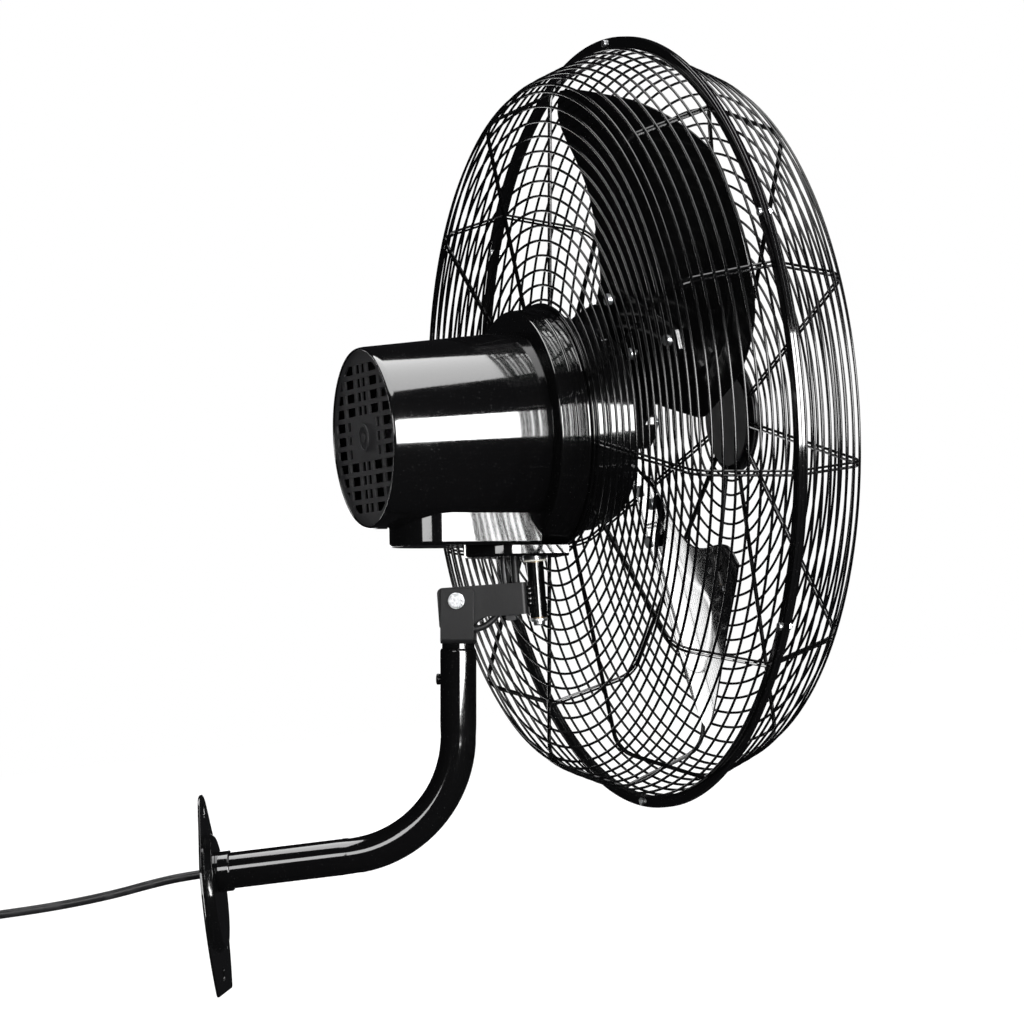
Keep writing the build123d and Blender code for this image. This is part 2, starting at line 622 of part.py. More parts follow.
# ================================================================ motor (fan frame: Z forward along the fan's axis)
# drawn cover, slightly narrower at the rear, with a rolled rim round the vent
with BuildPart() as motor_cover:
    with BuildSketch(Plane.XZ):
        with BuildLine():
            Polyline(*COVER_OUTSIDE, *[(r - COVER_WALL, f) for r, f in reversed(COVER_OUTSIDE)], COVER_OUTSIDE[0])
        make_face()
        with BuildLine():
            Polyline((COVER_OUTSIDE[0][0] - COVER_WALL, COVER_REAR), (95, COVER_REAR), (95.6, COVER_REAR + 5),
                     (COVER_OUTSIDE[0][0] - COVER_WALL, COVER_REAR + 7), (COVER_OUTSIDE[0][0] - COVER_WALL, COVER_REAR))
        make_face()
    revolve(axis=Axis.Z)
    fillet(motor_cover.faces().sort_by(Axis.Z)[0].outer_wire().edges(), radius=1.5)
motor_cover.part = motor_cover.part.moved(fan_frame)
motor_cover.part.label = "motor_cover"
export_step(motor_cover.part, "parts/motor_cover.step")

# moulded vent disc set just inside the rim: rows of slots round a solid middle
VENT_REAR = COVER_REAR + 2
with BuildPart() as rear_vent_grille:
    with BuildSketch(Plane.XY.offset(VENT_REAR)):
        Circle(COVER_OUTSIDE[0][0] - COVER_WALL)
    extrude(amount=2.5)
    with BuildSketch(Plane.XY.offset(VENT_REAR - 1)):
        with GridLocations(34, 14.1, 5, 11):
            Rectangle(26, 9.2)
        Circle(83, mode=Mode.INTERSECT)
        Rectangle(3.5, 180, mode=Mode.SUBTRACT)
        Rectangle(76, 42, mode=Mode.SUBTRACT)
    extrude(amount=5, mode=Mode.SUBTRACT)
    with BuildSketch(Plane.XY.offset(VENT_REAR)):
        Circle(14.5)
        Circle(11.5, mode=Mode.SUBTRACT)
        Circle(5)
        Rectangle(1.6, 11, mode=Mode.SUBTRACT)
    extrude(amount=-1.4)
rear_vent_grille.part = rear_vent_grille.part.moved(fan_frame)
rear_vent_grille.part.label = "rear_vent_grille"
export_step(rear_vent_grille.part, "parts/rear_vent_grille.step")

# drum behind the guard and the stepped bell that reaches forward inside it
SHAFT_D = 16.0
BEARING_D = 40.0
BEARING_WIDTH = 12.0
BOLT_CIRCLE = 80.0
with BuildPart() as front_housing:
    with BuildSketch(Plane.XZ):
        with BuildLine():
            Polyline((70, DRUM_REAR), (DRUM_RADII[0], DRUM_REAR), (DRUM_RADII[1], DRUM_FRONT), (116, DRUM_FRONT),
                     (114.5, 44), (108.5, 48), (107.5, 64), (101.5, 68), (100, BELL_FRONT), (11, BELL_FRONT),
                     (11, BELL_FRONT - 3), (20, BELL_FRONT - 3), (20, BELL_FRONT - 3 - BEARING_WIDTH), (24, BELL_FRONT - 15),
                     (24, BELL_FRONT - 4), (97, BELL_FRONT - 4), (98.4, 66), (104.4, 62), (105.4, 46), (111.4, 42),
                     (112.9, DRUM_FRONT - 3), (122, DRUM_FRONT - 3), (118.7, DRUM_REAR + 3), (70, DRUM_REAR + 3),
                     (70, DRUM_REAR))
        make_face()
    revolve(axis=Axis.Z)
    with BuildSketch(Plane.XY.offset(DRUM_REAR - 1)):
        with PolarLocations(BOLT_CIRCLE, 4, start_angle=45):
            Circle(3)
    extrude(amount=6, mode=Mode.SUBTRACT)
    fillet(front_housing.edges().filter_by(GeomType.CIRCLE).group_by(Axis.Z)[0].sort_by(SortBy.RADIUS)[-1], radius=2)
front_housing.part = front_housing.part.moved(fan_frame)
front_housing.part.label = "front_housing"
export_step(front_housing.part, "parts/front_housing.step")

# rear end shield, spigotted in the cover, with the rear bearing's seat
SHIELD_REAR = -140.0
with BuildPart() as rear_end_shield:
    with BuildSketch(Plane.XZ):
        with BuildLine():
            Polyline((20, SHIELD_REAR), (26, SHIELD_REAR), (26, SHIELD_REAR + 8), (91.3, SHIELD_REAR + 8),
                     (91.5, SHIELD_REAR + 12), (11, SHIELD_REAR + 12), (11, SHIELD_REAR + 8), (20, SHIELD_REAR + 8),
                     (20, SHIELD_REAR))
        make_face()
    revolve(axis=Axis.Z)
    with BuildSketch(Plane.XY.offset(SHIELD_REAR)):
        with PolarLocations(BOLT_CIRCLE, 4, start_angle=45):
            Circle(3)
        with PolarLocations(52, 6):
            Circle(14)
    extrude(amount=20, mode=Mode.SUBTRACT)
rear_end_shield.part = rear_end_shield.part.moved(fan_frame)
rear_end_shield.part.label = "rear_end_shield"
export_step(rear_end_shield.part, "parts/rear_end_shield.step")

# laminated stator with its slots
STATOR = (-104.0, -44.0)
with BuildPart() as stator_core:
    with BuildSketch(Plane.XY.offset(STATOR[0])):
        Circle(86)
        Circle(55, mode=Mode.SUBTRACT)
        with PolarLocations(64, 24):
            Rectangle(13, 7, mode=Mode.SUBTRACT)
        with PolarLocations(BOLT_CIRCLE, 4, start_angle=45):
            Circle(3, mode=Mode.SUBTRACT)
    extrude(amount=STATOR[1] - STATOR[0])
stator_core.part = stator_core.part.moved(fan_frame)
stator_core.part.label = "stator_core"
export_step(stator_core.part, "parts/stator_core.step")

# end turns of the winding, one ring on each face of the stator
with BuildPart() as windings:
    for face, outward in ((STATOR[0], -1), (STATOR[1], 1)):
        with BuildSketch(Plane.XY.offset(face)):
            Circle(72)
            Circle(57.5, mode=Mode.SUBTRACT)
        extrude(amount=outward * 16)
windings.part = windings.part.moved(fan_frame)
windings.part.label = "windings"
export_step(windings.part, "parts/windings.step")

# through bolts from the rear end shield to the drum
with BuildPart() as stator_bolts:
    with BuildSketch(Plane.XY.offset(SHIELD_REAR + 8)):
        with PolarLocations(BOLT_CIRCLE, 4, start_angle=45):
            Circle(3)
    extrude(amount=DRUM_REAR + 3 - SHIELD_REAR - 8)
    with BuildSketch(Plane.XY.offset(SHIELD_REAR + 8)):
        with PolarLocations(BOLT_CIRCLE, 4, start_angle=45):
            RegularPolygon(5, 6)
    extrude(amount=-4)
stator_bolts.part = stator_bolts.part.moved(fan_frame)
stator_bolts.part.label = "stator_bolts"
export_step(stator_bolts.part, "parts/stator_bolts.step")

# ball bearings in the end shield and in the bell
with BuildPart() as bearings:
    for seat in (SHIELD_REAR - 4, BELL_FRONT - 3 - BEARING_WIDTH):
        with BuildSketch(Plane.XY.offset(seat)):
            Circle(BEARING_D / 2)
            Circle(SHAFT_D / 2 + RUNNING, mode=Mode.SUBTRACT)
        extrude(amount=BEARING_WIDTH)
bearings.part = bearings.part.moved(fan_frame)
bearings.part.label = "bearings"
export_step(bearings.part, "parts/bearings.step")

# ================================================================ guards
GUARD_SIDES = 24
RIB_WIDTH = 6.8
RIB_SLIT = 1.4
REAR_FACE = 24.5           # centre of the rear face rings, forward of the swing axis
REAR_BEND = 350.0
FRONT_BEND_PLANE = 205.0
FRONT_BEND = 353.0
CAP_PLANE = 232.0          # the front face rises to the cap
CAP_RADIUS = 58.0
FLANGE_INNER = GUARD_RADIUS - FLANGE_WIDTH
REAR_FACE_RINGS = [126.2, *[132.4 + RING_PITCH * n for n in range(15)]]
SIDE_RINGS = 8
FRONT_FACE_RINGS = [CAP_RADIUS + 8 + RING_PITCH * n for n in range(19)]


def front_plane(radius):
    """Height of the front face at a radius: a shallow dome from the bend up to the cap."""
    share = (FRONT_BEND - radius) / (FRONT_BEND - CAP_RADIUS)
    return FRONT_BEND_PLANE + (CAP_PLANE - FRONT_BEND_PLANE) * share


def hoop(radius):
    """Plan of one closed ring of guard wire."""
    with BuildSketch() as ring:
        RegularPolygon(radius + WIRE / 2, GUARD_SIDES)
        RegularPolygon(radius - WIRE / 2, GUARD_SIDES, mode=Mode.SUBTRACT)
    return ring.sketch


def side_point(bend_radius, bend_plane, edge_plane, share):
    """Radius and height on the sloping side of a guard, from the bend to the flange."""
    radius = bend_radius + (FLANGE_INNER - bend_radius) * share
    return radius, bend_plane + (edge_plane - bend_plane) * share


# ring on the drum's shoulder that carries the rear guard
with BuildPart() as guard_mount_ring:
    with BuildSketch(Plane.XY.offset(DRUM_FRONT)):
        Circle(137)
        Circle(116.5, mode=Mode.SUBTRACT)
    extrude(amount=REAR_FACE - WIRE / 2 - DRUM_FRONT)
guard_mount_ring.part = guard_mount_ring.part.moved(fan_frame)
guard_mount_ring.part.label = "guard_mount_ring"
export_step(guard_mount_ring.part, "parts/guard_mount_ring.step")

# screws through the mount ring into the drum
with BuildPart() as mount_screws:
    with BuildSketch(Plane.XY.offset(REAR_FACE - WIRE / 2)):
        with PolarLocations(119.3, 6, start_angle=26):
            Circle(2.8)
    extrude(amount=2.4)
    with BuildSketch(Plane.XY.offset(DRUM_FRONT - 3)):
        with PolarLocations(119.3, 6, start_angle=26):
            Circle(2)
    extrude(amount=REAR_FACE - WIRE / 2 - DRUM_FRONT + 3)
mount_screws.part = mount_screws.part.moved(fan_frame)
mount_screws.part.label = "mount_screws"
export_step(mount_screws.part, "parts/mount_screws.step")

# rings of the flat rear face
with BuildPart() as rear_face_rings:
    for ring_radius in REAR_FACE_RINGS:
        with BuildSketch(Plane.XY.offset(REAR_FACE - WIRE / 2)):
            add(hoop(ring_radius))
        extrude(amount=WIRE)
rear_face_rings.part = rear_face_rings.part.moved(fan_frame)
rear_face_rings.part.label = "rear_face_rings"
export_step(rear_face_rings.part, "parts/rear_face_rings.step")

# rings of the sloping rear side
REAR_EDGE = FLANGE_PLANE - FLANGE_SHEET
with BuildPart() as rear_side_rings:
    for n in range(SIDE_RINGS):
        ring_radius, ring_plane = side_point(REAR_BEND, REAR_FACE, REAR_EDGE, (n + 0.35) / SIDE_RINGS)
        with BuildSketch(Plane.XY.offset(ring_plane - WIRE / 2)):
            add(hoop(ring_radius + WIRE))
        extrude(amount=WIRE)
rear_side_rings.part = rear_side_rings.part.moved(fan_frame)
rear_side_rings.part.label = "rear_side_rings"
export_step(rear_side_rings.part, "parts/rear_side_rings.step")

# hairpin ribs under the rear rings, from the mount ring round the bend to the flange
with BuildPart() as rear_guard_ribs:
    for n in range(RIB_COUNT):
        rib_plane = Plane((0, 0, 0), x_dir=(math.cos(math.radians(RIB_START + 30 * n)),
                                            math.sin(math.radians(RIB_START + 30 * n)), 0),
                          z_dir=(math.sin(math.radians(RIB_START + 30 * n)),
                                 -math.cos(math.radians(RIB_START + 30 * n)), 0))
        inside = REAR_FACE + WIRE / 2
        with BuildSketch(rib_plane):
            with BuildLine():
                Polyline((121, inside), (REAR_BEND - 4, inside), (FLANGE_INNER + 1, REAR_EDGE),
                         (FLANGE_INNER - WIRE, REAR_EDGE + 2), (REAR_BEND - 7, inside + WIRE), (121, inside + WIRE),
                         (121, inside))
            make_face()
        extrude(amount=RIB_WIDTH / 2, both=True)
        with BuildSketch(rib_plane):
            with Locations(((126 + GUARD_RADIUS) / 2, 75)):
                Rectangle(GUARD_RADIUS - 126, 120)
        extrude(amount=RIB_SLIT / 2, both=True, mode=Mode.SUBTRACT)
rear_guard_ribs.part = rear_guard_ribs.part.moved(fan_frame)
rear_guard_ribs.part.label = "rear_guard_ribs"
export_step(rear_guard_ribs.part, "parts/rear_guard_ribs.step")

# pair of flat rims, one welded to each guard, screwed face to face
SCREW_CIRCLE = GUARD_RADIUS - 5
with BuildPart() as rear_flange:
    with BuildSketch(Plane.XY.offset(FLANGE_PLANE - FLANGE_SHEET)):
        Circle(GUARD_RADIUS)
        Circle(FLANGE_INNER, mode=Mode.SUBTRACT)
        with PolarLocations(SCREW_CIRCLE, 6, start_angle=SCREW_START):
            Circle(2.2, mode=Mode.SUBTRACT)
    extrude(amount=FLANGE_SHEET)
rear_flange.part = rear_flange.part.moved(fan_frame)
rear_flange.part.label = "rear_flange"
export_step(rear_flange.part, "parts/rear_flange.step")

with BuildPart() as front_flange:
    with BuildSketch(Plane.XY.offset(FLANGE_PLANE)):
        Circle(GUARD_RADIUS)
        Circle(FLANGE_INNER, mode=Mode.SUBTRACT)
        with PolarLocations(SCREW_CIRCLE, 6, start_angle=SCREW_START):
            Circle(2.2, mode=Mode.SUBTRACT)
    extrude(amount=FLANGE_SHEET)
front_flange.part = front_flange.part.moved(fan_frame)
front_flange.part.label = "front_flange"
export_step(front_flange.part, "parts/front_flange.step")

# small screws through both rims, heads to the rear
with BuildPart() as guard_screws:
    with BuildSketch(Plane.XY.offset(FLANGE_PLANE - FLANGE_SHEET)):
        with PolarLocations(SCREW_CIRCLE, 6, start_angle=SCREW_START):
            Circle(4)
    extrude(amount=-2.6)
    with BuildSketch(Plane.XY.offset(FLANGE_PLANE - FLANGE_SHEET - 1)):
        with PolarLocations(SCREW_CIRCLE, 6, start_angle=SCREW_START):
            Circle(2.2)
    extrude(amount=2 * FLANGE_SHEET + 6)
guard_screws.part = guard_screws.part.moved(fan_frame)
guard_screws.part.label = "guard_screws"
export_step(guard_screws.part, "parts/guard_screws.step")

with BuildPart() as guard_nuts:
    with BuildSketch(Plane.XY.offset(FLANGE_PLANE + FLANGE_SHEET)):
        with PolarLocations(SCREW_CIRCLE, 6, start_angle=SCREW_START):
            RegularPolygon(4.2, 6)
            Circle(2.2, mode=Mode.SUBTRACT)
    extrude(amount=3.2)
guard_nuts.part = guard_nuts.part.moved(fan_frame)
guard_nuts.part.label = "guard_nuts"
export_step(guard_nuts.part, "parts/guard_nuts.step")

# rings of the sloping front side
FRONT_EDGE = FLANGE_PLANE + FLANGE_SHEET
with BuildPart() as front_side_rings:
    for n in range(SIDE_RINGS):
        ring_radius, ring_plane = side_point(FRONT_BEND, FRONT_BEND_PLANE, FRONT_EDGE, (n + 0.35) / SIDE_RINGS)
        with BuildSketch(Plane.XY.offset(ring_plane - WIRE / 2)):
            add(hoop(ring_radius + WIRE))
        extrude(amount=WIRE)
front_side_rings.part = front_side_rings.part.moved(fan_frame)
front_side_rings.part.label = "front_side_rings"
export_step(front_side_rings.part, "parts/front_side_rings.step")

# rings of the domed front face
with BuildPart() as front_face_rings:
    for ring_radius in FRONT_FACE_RINGS:
        with BuildSketch(Plane.XY.offset(front_plane(ring_radius))):
            add(hoop(ring_radius))
        extrude(amount=WIRE)
front_face_rings.part = front_face_rings.part.moved(fan_frame)
front_face_rings.part.label = "front_face_rings"
export_step(front_face_rings.part, "parts/front_face_rings.step")

# hairpin ribs inside the front rings, from the cap round the bend to the flange
with BuildPart() as front_guard_ribs:
    for n in range(RIB_COUNT):
        rib_plane = Plane((0, 0, 0), x_dir=(math.cos(math.radians(RIB_START + 30 * n)),
                                            math.sin(math.radians(RIB_START + 30 * n)), 0),
                          z_dir=(math.sin(math.radians(RIB_START + 30 * n)),
                                 -math.cos(math.radians(RIB_START + 30 * n)), 0))
        with BuildSketch(rib_plane):
            with BuildLine():
                Polyline((40, front_plane(40)), (FRONT_BEND - 4, FRONT_BEND_PLANE), (FLANGE_INNER + 1, FRONT_EDGE),
                         (FLANGE_INNER - WIRE, FRONT_EDGE - 2), (FRONT_BEND - 7, FRONT_BEND_PLANE - WIRE),
                         (40, front_plane(40) - WIRE), (40, front_plane(40)))
            make_face()
        extrude(amount=RIB_WIDTH / 2, both=True)
        with BuildSketch(rib_plane):
            with Locations(((CAP_RADIUS + GUARD_RADIUS) / 2, 180)):
                Rectangle(GUARD_RADIUS - CAP_RADIUS, 140)
        extrude(amount=RIB_SLIT / 2, both=True, mode=Mode.SUBTRACT)
front_guard_ribs.part = front_guard_ribs.part.moved(fan_frame)
front_guard_ribs.part.label = "front_guard_ribs"
export_step(front_guard_ribs.part, "parts/front_guard_ribs.step")

# plain pressed cap over the ribs' inner ends, and the plate behind them that it is held to
with BuildPart() as front_cap:
    with BuildSketch(Plane.XY.offset(front_plane(40) + 0.2)):
        Circle(CAP_RADIUS)
    extrude(amount=9)
    fillet(front_cap.faces().sort_by(Axis.Z)[-1].edges(), radius=6)
    with BuildSketch(Plane.XY.offset(front_plane(40) + 0.1)):
        Circle(CAP_RADIUS - 3)
    extrude(amount=6.5, mode=Mode.SUBTRACT)
    with BuildSketch(Plane.XY.offset(front_plane(40) - WIRE - 2)):
        Circle(CAP_RADIUS - 8)
    extrude(amount=2)
    with BuildSketch(Plane.XY.offset(front_plane(40) - WIRE)):
        Circle(30)
    extrude(amount=12)
front_cap.part = front_cap.part.moved(fan_frame)
front_cap.part.label = "front_cap"
export_step(front_cap.part, "parts/front_cap.step")

# ================================================================ rotor
HUB_PLANE = 122.0
with BuildPart() as motor_shaft:
    with BuildSketch(Plane.XY.offset(-150)):
        Circle(SHAFT_D / 2)
    extrude(amount=150 + HUB_PLANE + 26)
    chamfer(motor_shaft.faces().sort_by(Axis.Z)[-1].edges(), length=1)
motor_shaft.part = motor_shaft.part.moved(fan_frame)
motor_shaft.part.label = "motor_shaft"
export_step(motor_shaft.part, "parts/motor_shaft.step")

with BuildPart() as rotor_core:
    with BuildSketch(Plane.XY.offset(STATOR[0])):
        Circle(54)
        Circle(SHAFT_D / 2, mode=Mode.SUBTRACT)
    extrude(amount=STATOR[1] - STATOR[0])
    with BuildSketch(Plane.XY.offset(STATOR[0] - 8)):
        Circle(52)
        Circle(38, mode=Mode.SUBTRACT)
    extrude(amount=STATOR[1] - STATOR[0] + 16)
rotor_core.part = rotor_core.part.moved(fan_frame)
rotor_core.part.label = "rotor_core"
export_step(rotor_core.part, "parts/rotor_core.step")

# surface that the blades and the spider share, seen from a blade's own middle line: X runs out from the
# shaft, Y across the blade. It is pitched about X, hollow towards the front and rises towards the tip
BLADE_PITCH = 0.384         # rise across the blade
BLADE_HOLLOW = 0.0006
BLADE_CONE = 0.137          # rise towards the tip
BLADE_WIND = 0.00017        # how much steeper the pitch gets towards the tip
BLADE_LIFT = 25.3           # height above the flange plane 200 out on the middle line


def blade_height(x, y):
    """Height of the shared surface above the flange plane."""
    return BLADE_LIFT + BLADE_PITCH * y + BLADE_HOLLOW * y * y + (x - 200) * (BLADE_CONE + BLADE_WIND * y)


SHEET_ALONG = (6, 345)      # from beside the shaft to beyond the tip
SHEET_ACROSS = (-325, -117.5, 90)


def pressed_sheet(thickness, lift):
    """Lofted sheet that follows the shared surface, wide enough for a whole blade."""
    with BuildPart() as sheet:
        for x in SHEET_ALONG:
            under, over = [[(y, FLANGE_PLANE + blade_height(x, y) + lift + side * thickness / 2)
                            for y in SHEET_ACROSS] for side in (-1, 1)]
            with BuildSketch(Plane((x, 0, 0), x_dir=(0, 1, 0), z_dir=(1, 0, 0))):
                with BuildLine():
                    ThreePointArc(*under)
                    Line(under[2], over[2])
                    ThreePointArc(*reversed(over))
                    Line(over[0], under[0])
                make_face()
        loft()
    return sheet.part


# one broad pressed blade: swept leading edge, round tip, long trailing edge; then its two fellows
BLADE_SHEET = 1.8
LEADING_EDGE = ((70, -86), (104, -119), (140, -162), (161, -214), (162, -262), (150, -306))
TIP_EDGE = ((150, -306), (286, -186), (331, -66))
TRAILING_EDGE = ((331, -66), (284, -1), (229, 51), (168, 71), (119, 71), (84, 67))
with BuildPart() as blade:
    add(pressed_sheet(BLADE_SHEET, 0))
    with BuildSketch() as blade_plan:
        with BuildLine():
            Spline(*LEADING_EDGE)
            ThreePointArc(*TIP_EDGE)
            Spline(*TRAILING_EDGE)
            Polyline(TRAILING_EDGE[-1], (51, 14), LEADING_EDGE[0])
        make_face()
        corners = blade_plan.vertices().sort_by(SortBy.DISTANCE)
        fillet(corners[-1], radius=24)
        fillet(blade_plan.vertices().sort_by(SortBy.DISTANCE)[:3], radius=9)
    extrude(amount=300, mode=Mode.INTERSECT)
with BuildPart() as blades:
    with PolarLocations(0, 3, start_angle=BLADE_MIDDLE):
        add(blade.part)
blades.part = blades.part.moved(fan_frame)
blades.part.label = "blades"
export_step(blades.part, "parts/blades.step")

# spider: turned boss on the shaft and three pressed arms that widen to pads under the blades
PAD_SHEET = 4.0
ARM_OUTLINE = ((14, -22), (50, -30), (84, -106), (112, -100), (145, -6), (128, 13), (54, 18), (14, 22))
with BuildPart() as spider_arm:
    add(pressed_sheet(PAD_SHEET, -(PAD_SHEET + BLADE_SHEET) / 2 - 0.2))
    with BuildSketch() as arm_plan:
        with BuildLine():
            Polyline(*ARM_OUTLINE, ARM_OUTLINE[0])
        make_face()
        fillet(arm_plan.vertices().sort_by(SortBy.DISTANCE)[2:], radius=9)
    extrude(amount=300, mode=Mode.INTERSECT)
with BuildPart() as hub_spider:
    with BuildSketch(Plane.XY.offset(HUB_PLANE - 18)):
        Circle(27)
    extrude(amount=32)
    with PolarLocations(0, 3, start_angle=BLADE_MIDDLE):
        add(spider_arm.part)
    with BuildSketch(Plane.XY.offset(HUB_PLANE - 20)):
        Circle(SHAFT_D / 2)
    extrude(amount=60, mode=Mode.SUBTRACT)
hub_spider.part = hub_spider.part.moved(fan_frame)
hub_spider.part.label = "hub_spider"
export_step(hub_spider.part, "parts/hub_spider.step")

# three rivets through each blade into its pad
RIVETS = ((97, -88), (126, -5), (76, -31))
with BuildPart() as blade_rivets:
    with PolarLocations(0, 3, start_angle=BLADE_MIDDLE):
        for x, y in RIVETS:
            middle = FLANGE_PLANE + blade_height(x, y) - PAD_SHEET / 2
            with Locations((x, y, middle)):
                Cylinder(6, 14)
blade_rivets.part = blade_rivets.part.moved(fan_frame)
blade_rivets.part.label = "blade_rivets"
export_step(blade_rivets.part, "parts/blade_rivets.step")

with BuildPart() as hub_nut:
    with BuildSketch(Plane.XY.offset(HUB_PLANE + 14)):
        RegularPolygon(12, 6, major_radius=False)
        Circle(SHAFT_D / 2, mode=Mode.SUBTRACT)
    extrude(amount=9)
hub_nut.part = hub_nut.part.moved(fan_frame)
hub_nut.part.label = "hub_nut"
export_step(hub_nut.part, "parts/hub_nut.step")

# ================================================================ supply cord
# free stretch: out of the grommet, sagging a little, level where the coil takes over
COIL_LEVEL = 4.0
COIL_START = 300.0
CORD_ROUTE = [(0, 0, RUN_HEIGHT), (0, 30, 20.4), (0, 62, 16.8), (0, 97, 11.6), (0, 134, 8.0), (0, 173, 5.6),
              (0, 212, 4.6), (0, 252, COIL_LEVEL), (0, COIL_START - CORD_D, COIL_LEVEL)]
with BuildPart() as supply_cord:
    with BuildLine() as cord_path:
        FilletPolyline(*CORD_ROUTE, radius=corner_radii(CORD_ROUTE))
    with BuildSketch(Plane(CORD_ROUTE[0], z_dir=cord_path.wires()[0] % 0)):
        Circle(CORD_D / 2)
    sweep(path=cord_path.wires()[0])
free_length = cord_path.wires()[0].length
print("free cord", free_length, "volume share", supply_cord.part.volume / (free_length * math.pi * CORD_D**2 / 4))
supply_cord.part.label = "supply_cord"
export_step(supply_cord.part, "parts/supply_cord.step")

# coil: half turns that wind in on one layer, climb while they reverse, and wind out on the next
TURN_PITCH = CORD_D + 0.6
OUTER_TURN = 60.3
inward_radii = [OUTER_TURN - TURN_PITCH / 2 * n for n in range(5)]
climb_radius = 36.3
outward_radii = [climb_radius + TURN_PITCH / 4, *reversed(inward_radii[1:4])]
with BuildPart() as cord_coil:
    with BuildLine() as coil_path:
        x, heading, level = 0.0, 1, COIL_LEVEL
        Line((x, COIL_START - CORD_D, level), (x, COIL_START, level))
        for radius in inward_radii:
            far_x = x + 2 * radius * heading
            ThreePointArc((x, COIL_START, level), ((x + far_x) / 2, COIL_START + radius * heading, level),
                          (far_x, COIL_START, level))
            x, heading = far_x, -heading
        far_x = x + 2 * climb_radius * heading
        start, end = Vector(x, COIL_START, level), Vector(far_x, COIL_START, level + TURN_PITCH)
        crest = (start + end) * 0.5 + Vector(0, heading * (end - start).length / 2, 0)
        TangentArc(start, crest, tangent=(0, heading, 0))
        TangentArc(end, crest, tangent=(0, heading, 0))
        x, heading, level = far_x, -heading, level + TURN_PITCH
        for radius in outward_radii:
            far_x = x + 2 * radius * heading
            ThreePointArc((x, COIL_START, level), ((x + far_x) / 2, COIL_START + radius * heading, level),
                          (far_x, COIL_START, level))
            x, heading = far_x, -heading
        Line((x, COIL_START, level), (x, COIL_START + CORD_D, level))
    with BuildSketch(Plane((0, COIL_START - CORD_D, COIL_LEVEL), z_dir=(0, 1, 0))):
        Circle(CORD_D / 2)
    sweep(path=coil_path.wires()[0])
coil_length = coil_path.wires()[0].length
coil_end = (x, COIL_START + CORD_D, level)
print("coil length", coil_length, "end", coil_end, "cord in all", free_length + coil_length)
samples = [coil_path.wires()[0] @ (n / 600) for n in range(601)]
step = coil_length / 600
gap = min((a - b).length for i, a in enumerate(samples) for b in samples[i + int(40 / step):]) - CORD_D
print("least gap of the coil to itself", round(gap, 2), "volume share",
      cord_coil.part.volume / (coil_length * math.pi * CORD_D**2 / 4))
cord_coil.part.label = "cord_coil"
export_step(cord_coil.part, "parts/cord_coil.step")

# tie round the bundle on the coil's far side
with BuildPart() as cord_tie:
    with BuildSketch(Plane.YZ.offset(OUTER_TURN - 4)):
        with Locations((COIL_START + 47.4, COIL_LEVEL + TURN_PITCH / 2)):
            RectangleRounded(31.6, 22.0, 5)
            RectangleRounded(29.2, 19.6, 4, mode=Mode.SUBTRACT)
    extrude(amount=8)
cord_tie.part.label = "cord_tie"
export_step(cord_tie.part, "parts/cord_tie.step")

# moulded plug with a tapered tail, and its two round pins
plug_plane = Plane(coil_end, x_dir=(1, 0, 0), z_dir=(0, 1, 0))
with BuildPart() as plug_body:
    with BuildSketch(plug_plane):
        RectangleRounded(10, 10, 4.8)
    with BuildSketch(plug_plane.offset(12)):
        RectangleRounded(15, 10, 4.4)
    with BuildSketch(plug_plane.offset(34)):
        RectangleRounded(33, 10, 4.0)
    loft(ruled=True)
    fillet(plug_body.faces().sort_by(Axis.Y)[-1].edges(), radius=1.5)
plug_body.part.label = "plug_body"
export_step(plug_body.part, "parts/plug_body.step")

with BuildPart() as plug_pins:
    with BuildSketch(plug_plane.offset(34)):
        with GridLocations(19, 0, 2, 1):
            Circle(2)
    extrude(amount=19)
    fillet(plug_pins.faces().sort_by(Axis.Y)[-2:].edges(), radius=1)
plug_pins.part.label = "plug_pins"
export_step(plug_pins.part, "parts/plug_pins.step")
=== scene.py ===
"""Looks of the wall mounted fan, put together in the order that it is built, in metres.

The frame's origin is the middle of the wall plate's two screw slots, on the plate's back. +Z is up and the
arm reaches out to -Y.
"""
import math

import bpy
from mathutils import Matrix, Vector


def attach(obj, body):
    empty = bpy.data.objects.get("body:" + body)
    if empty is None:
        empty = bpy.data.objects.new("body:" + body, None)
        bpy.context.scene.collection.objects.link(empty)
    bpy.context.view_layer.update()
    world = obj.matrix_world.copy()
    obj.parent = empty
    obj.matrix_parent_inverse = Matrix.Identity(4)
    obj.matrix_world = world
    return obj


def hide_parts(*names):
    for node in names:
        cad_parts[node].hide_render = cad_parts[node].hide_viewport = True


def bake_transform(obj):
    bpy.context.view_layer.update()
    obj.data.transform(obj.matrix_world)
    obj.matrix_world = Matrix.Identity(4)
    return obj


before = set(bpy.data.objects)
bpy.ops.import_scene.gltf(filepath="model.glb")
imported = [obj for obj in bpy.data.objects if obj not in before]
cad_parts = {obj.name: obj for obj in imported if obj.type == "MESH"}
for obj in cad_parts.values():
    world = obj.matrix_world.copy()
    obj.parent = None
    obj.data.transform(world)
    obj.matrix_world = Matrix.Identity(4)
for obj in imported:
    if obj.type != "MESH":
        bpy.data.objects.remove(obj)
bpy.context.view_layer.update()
bpy.ops.object.select_all(action="DESELECT")

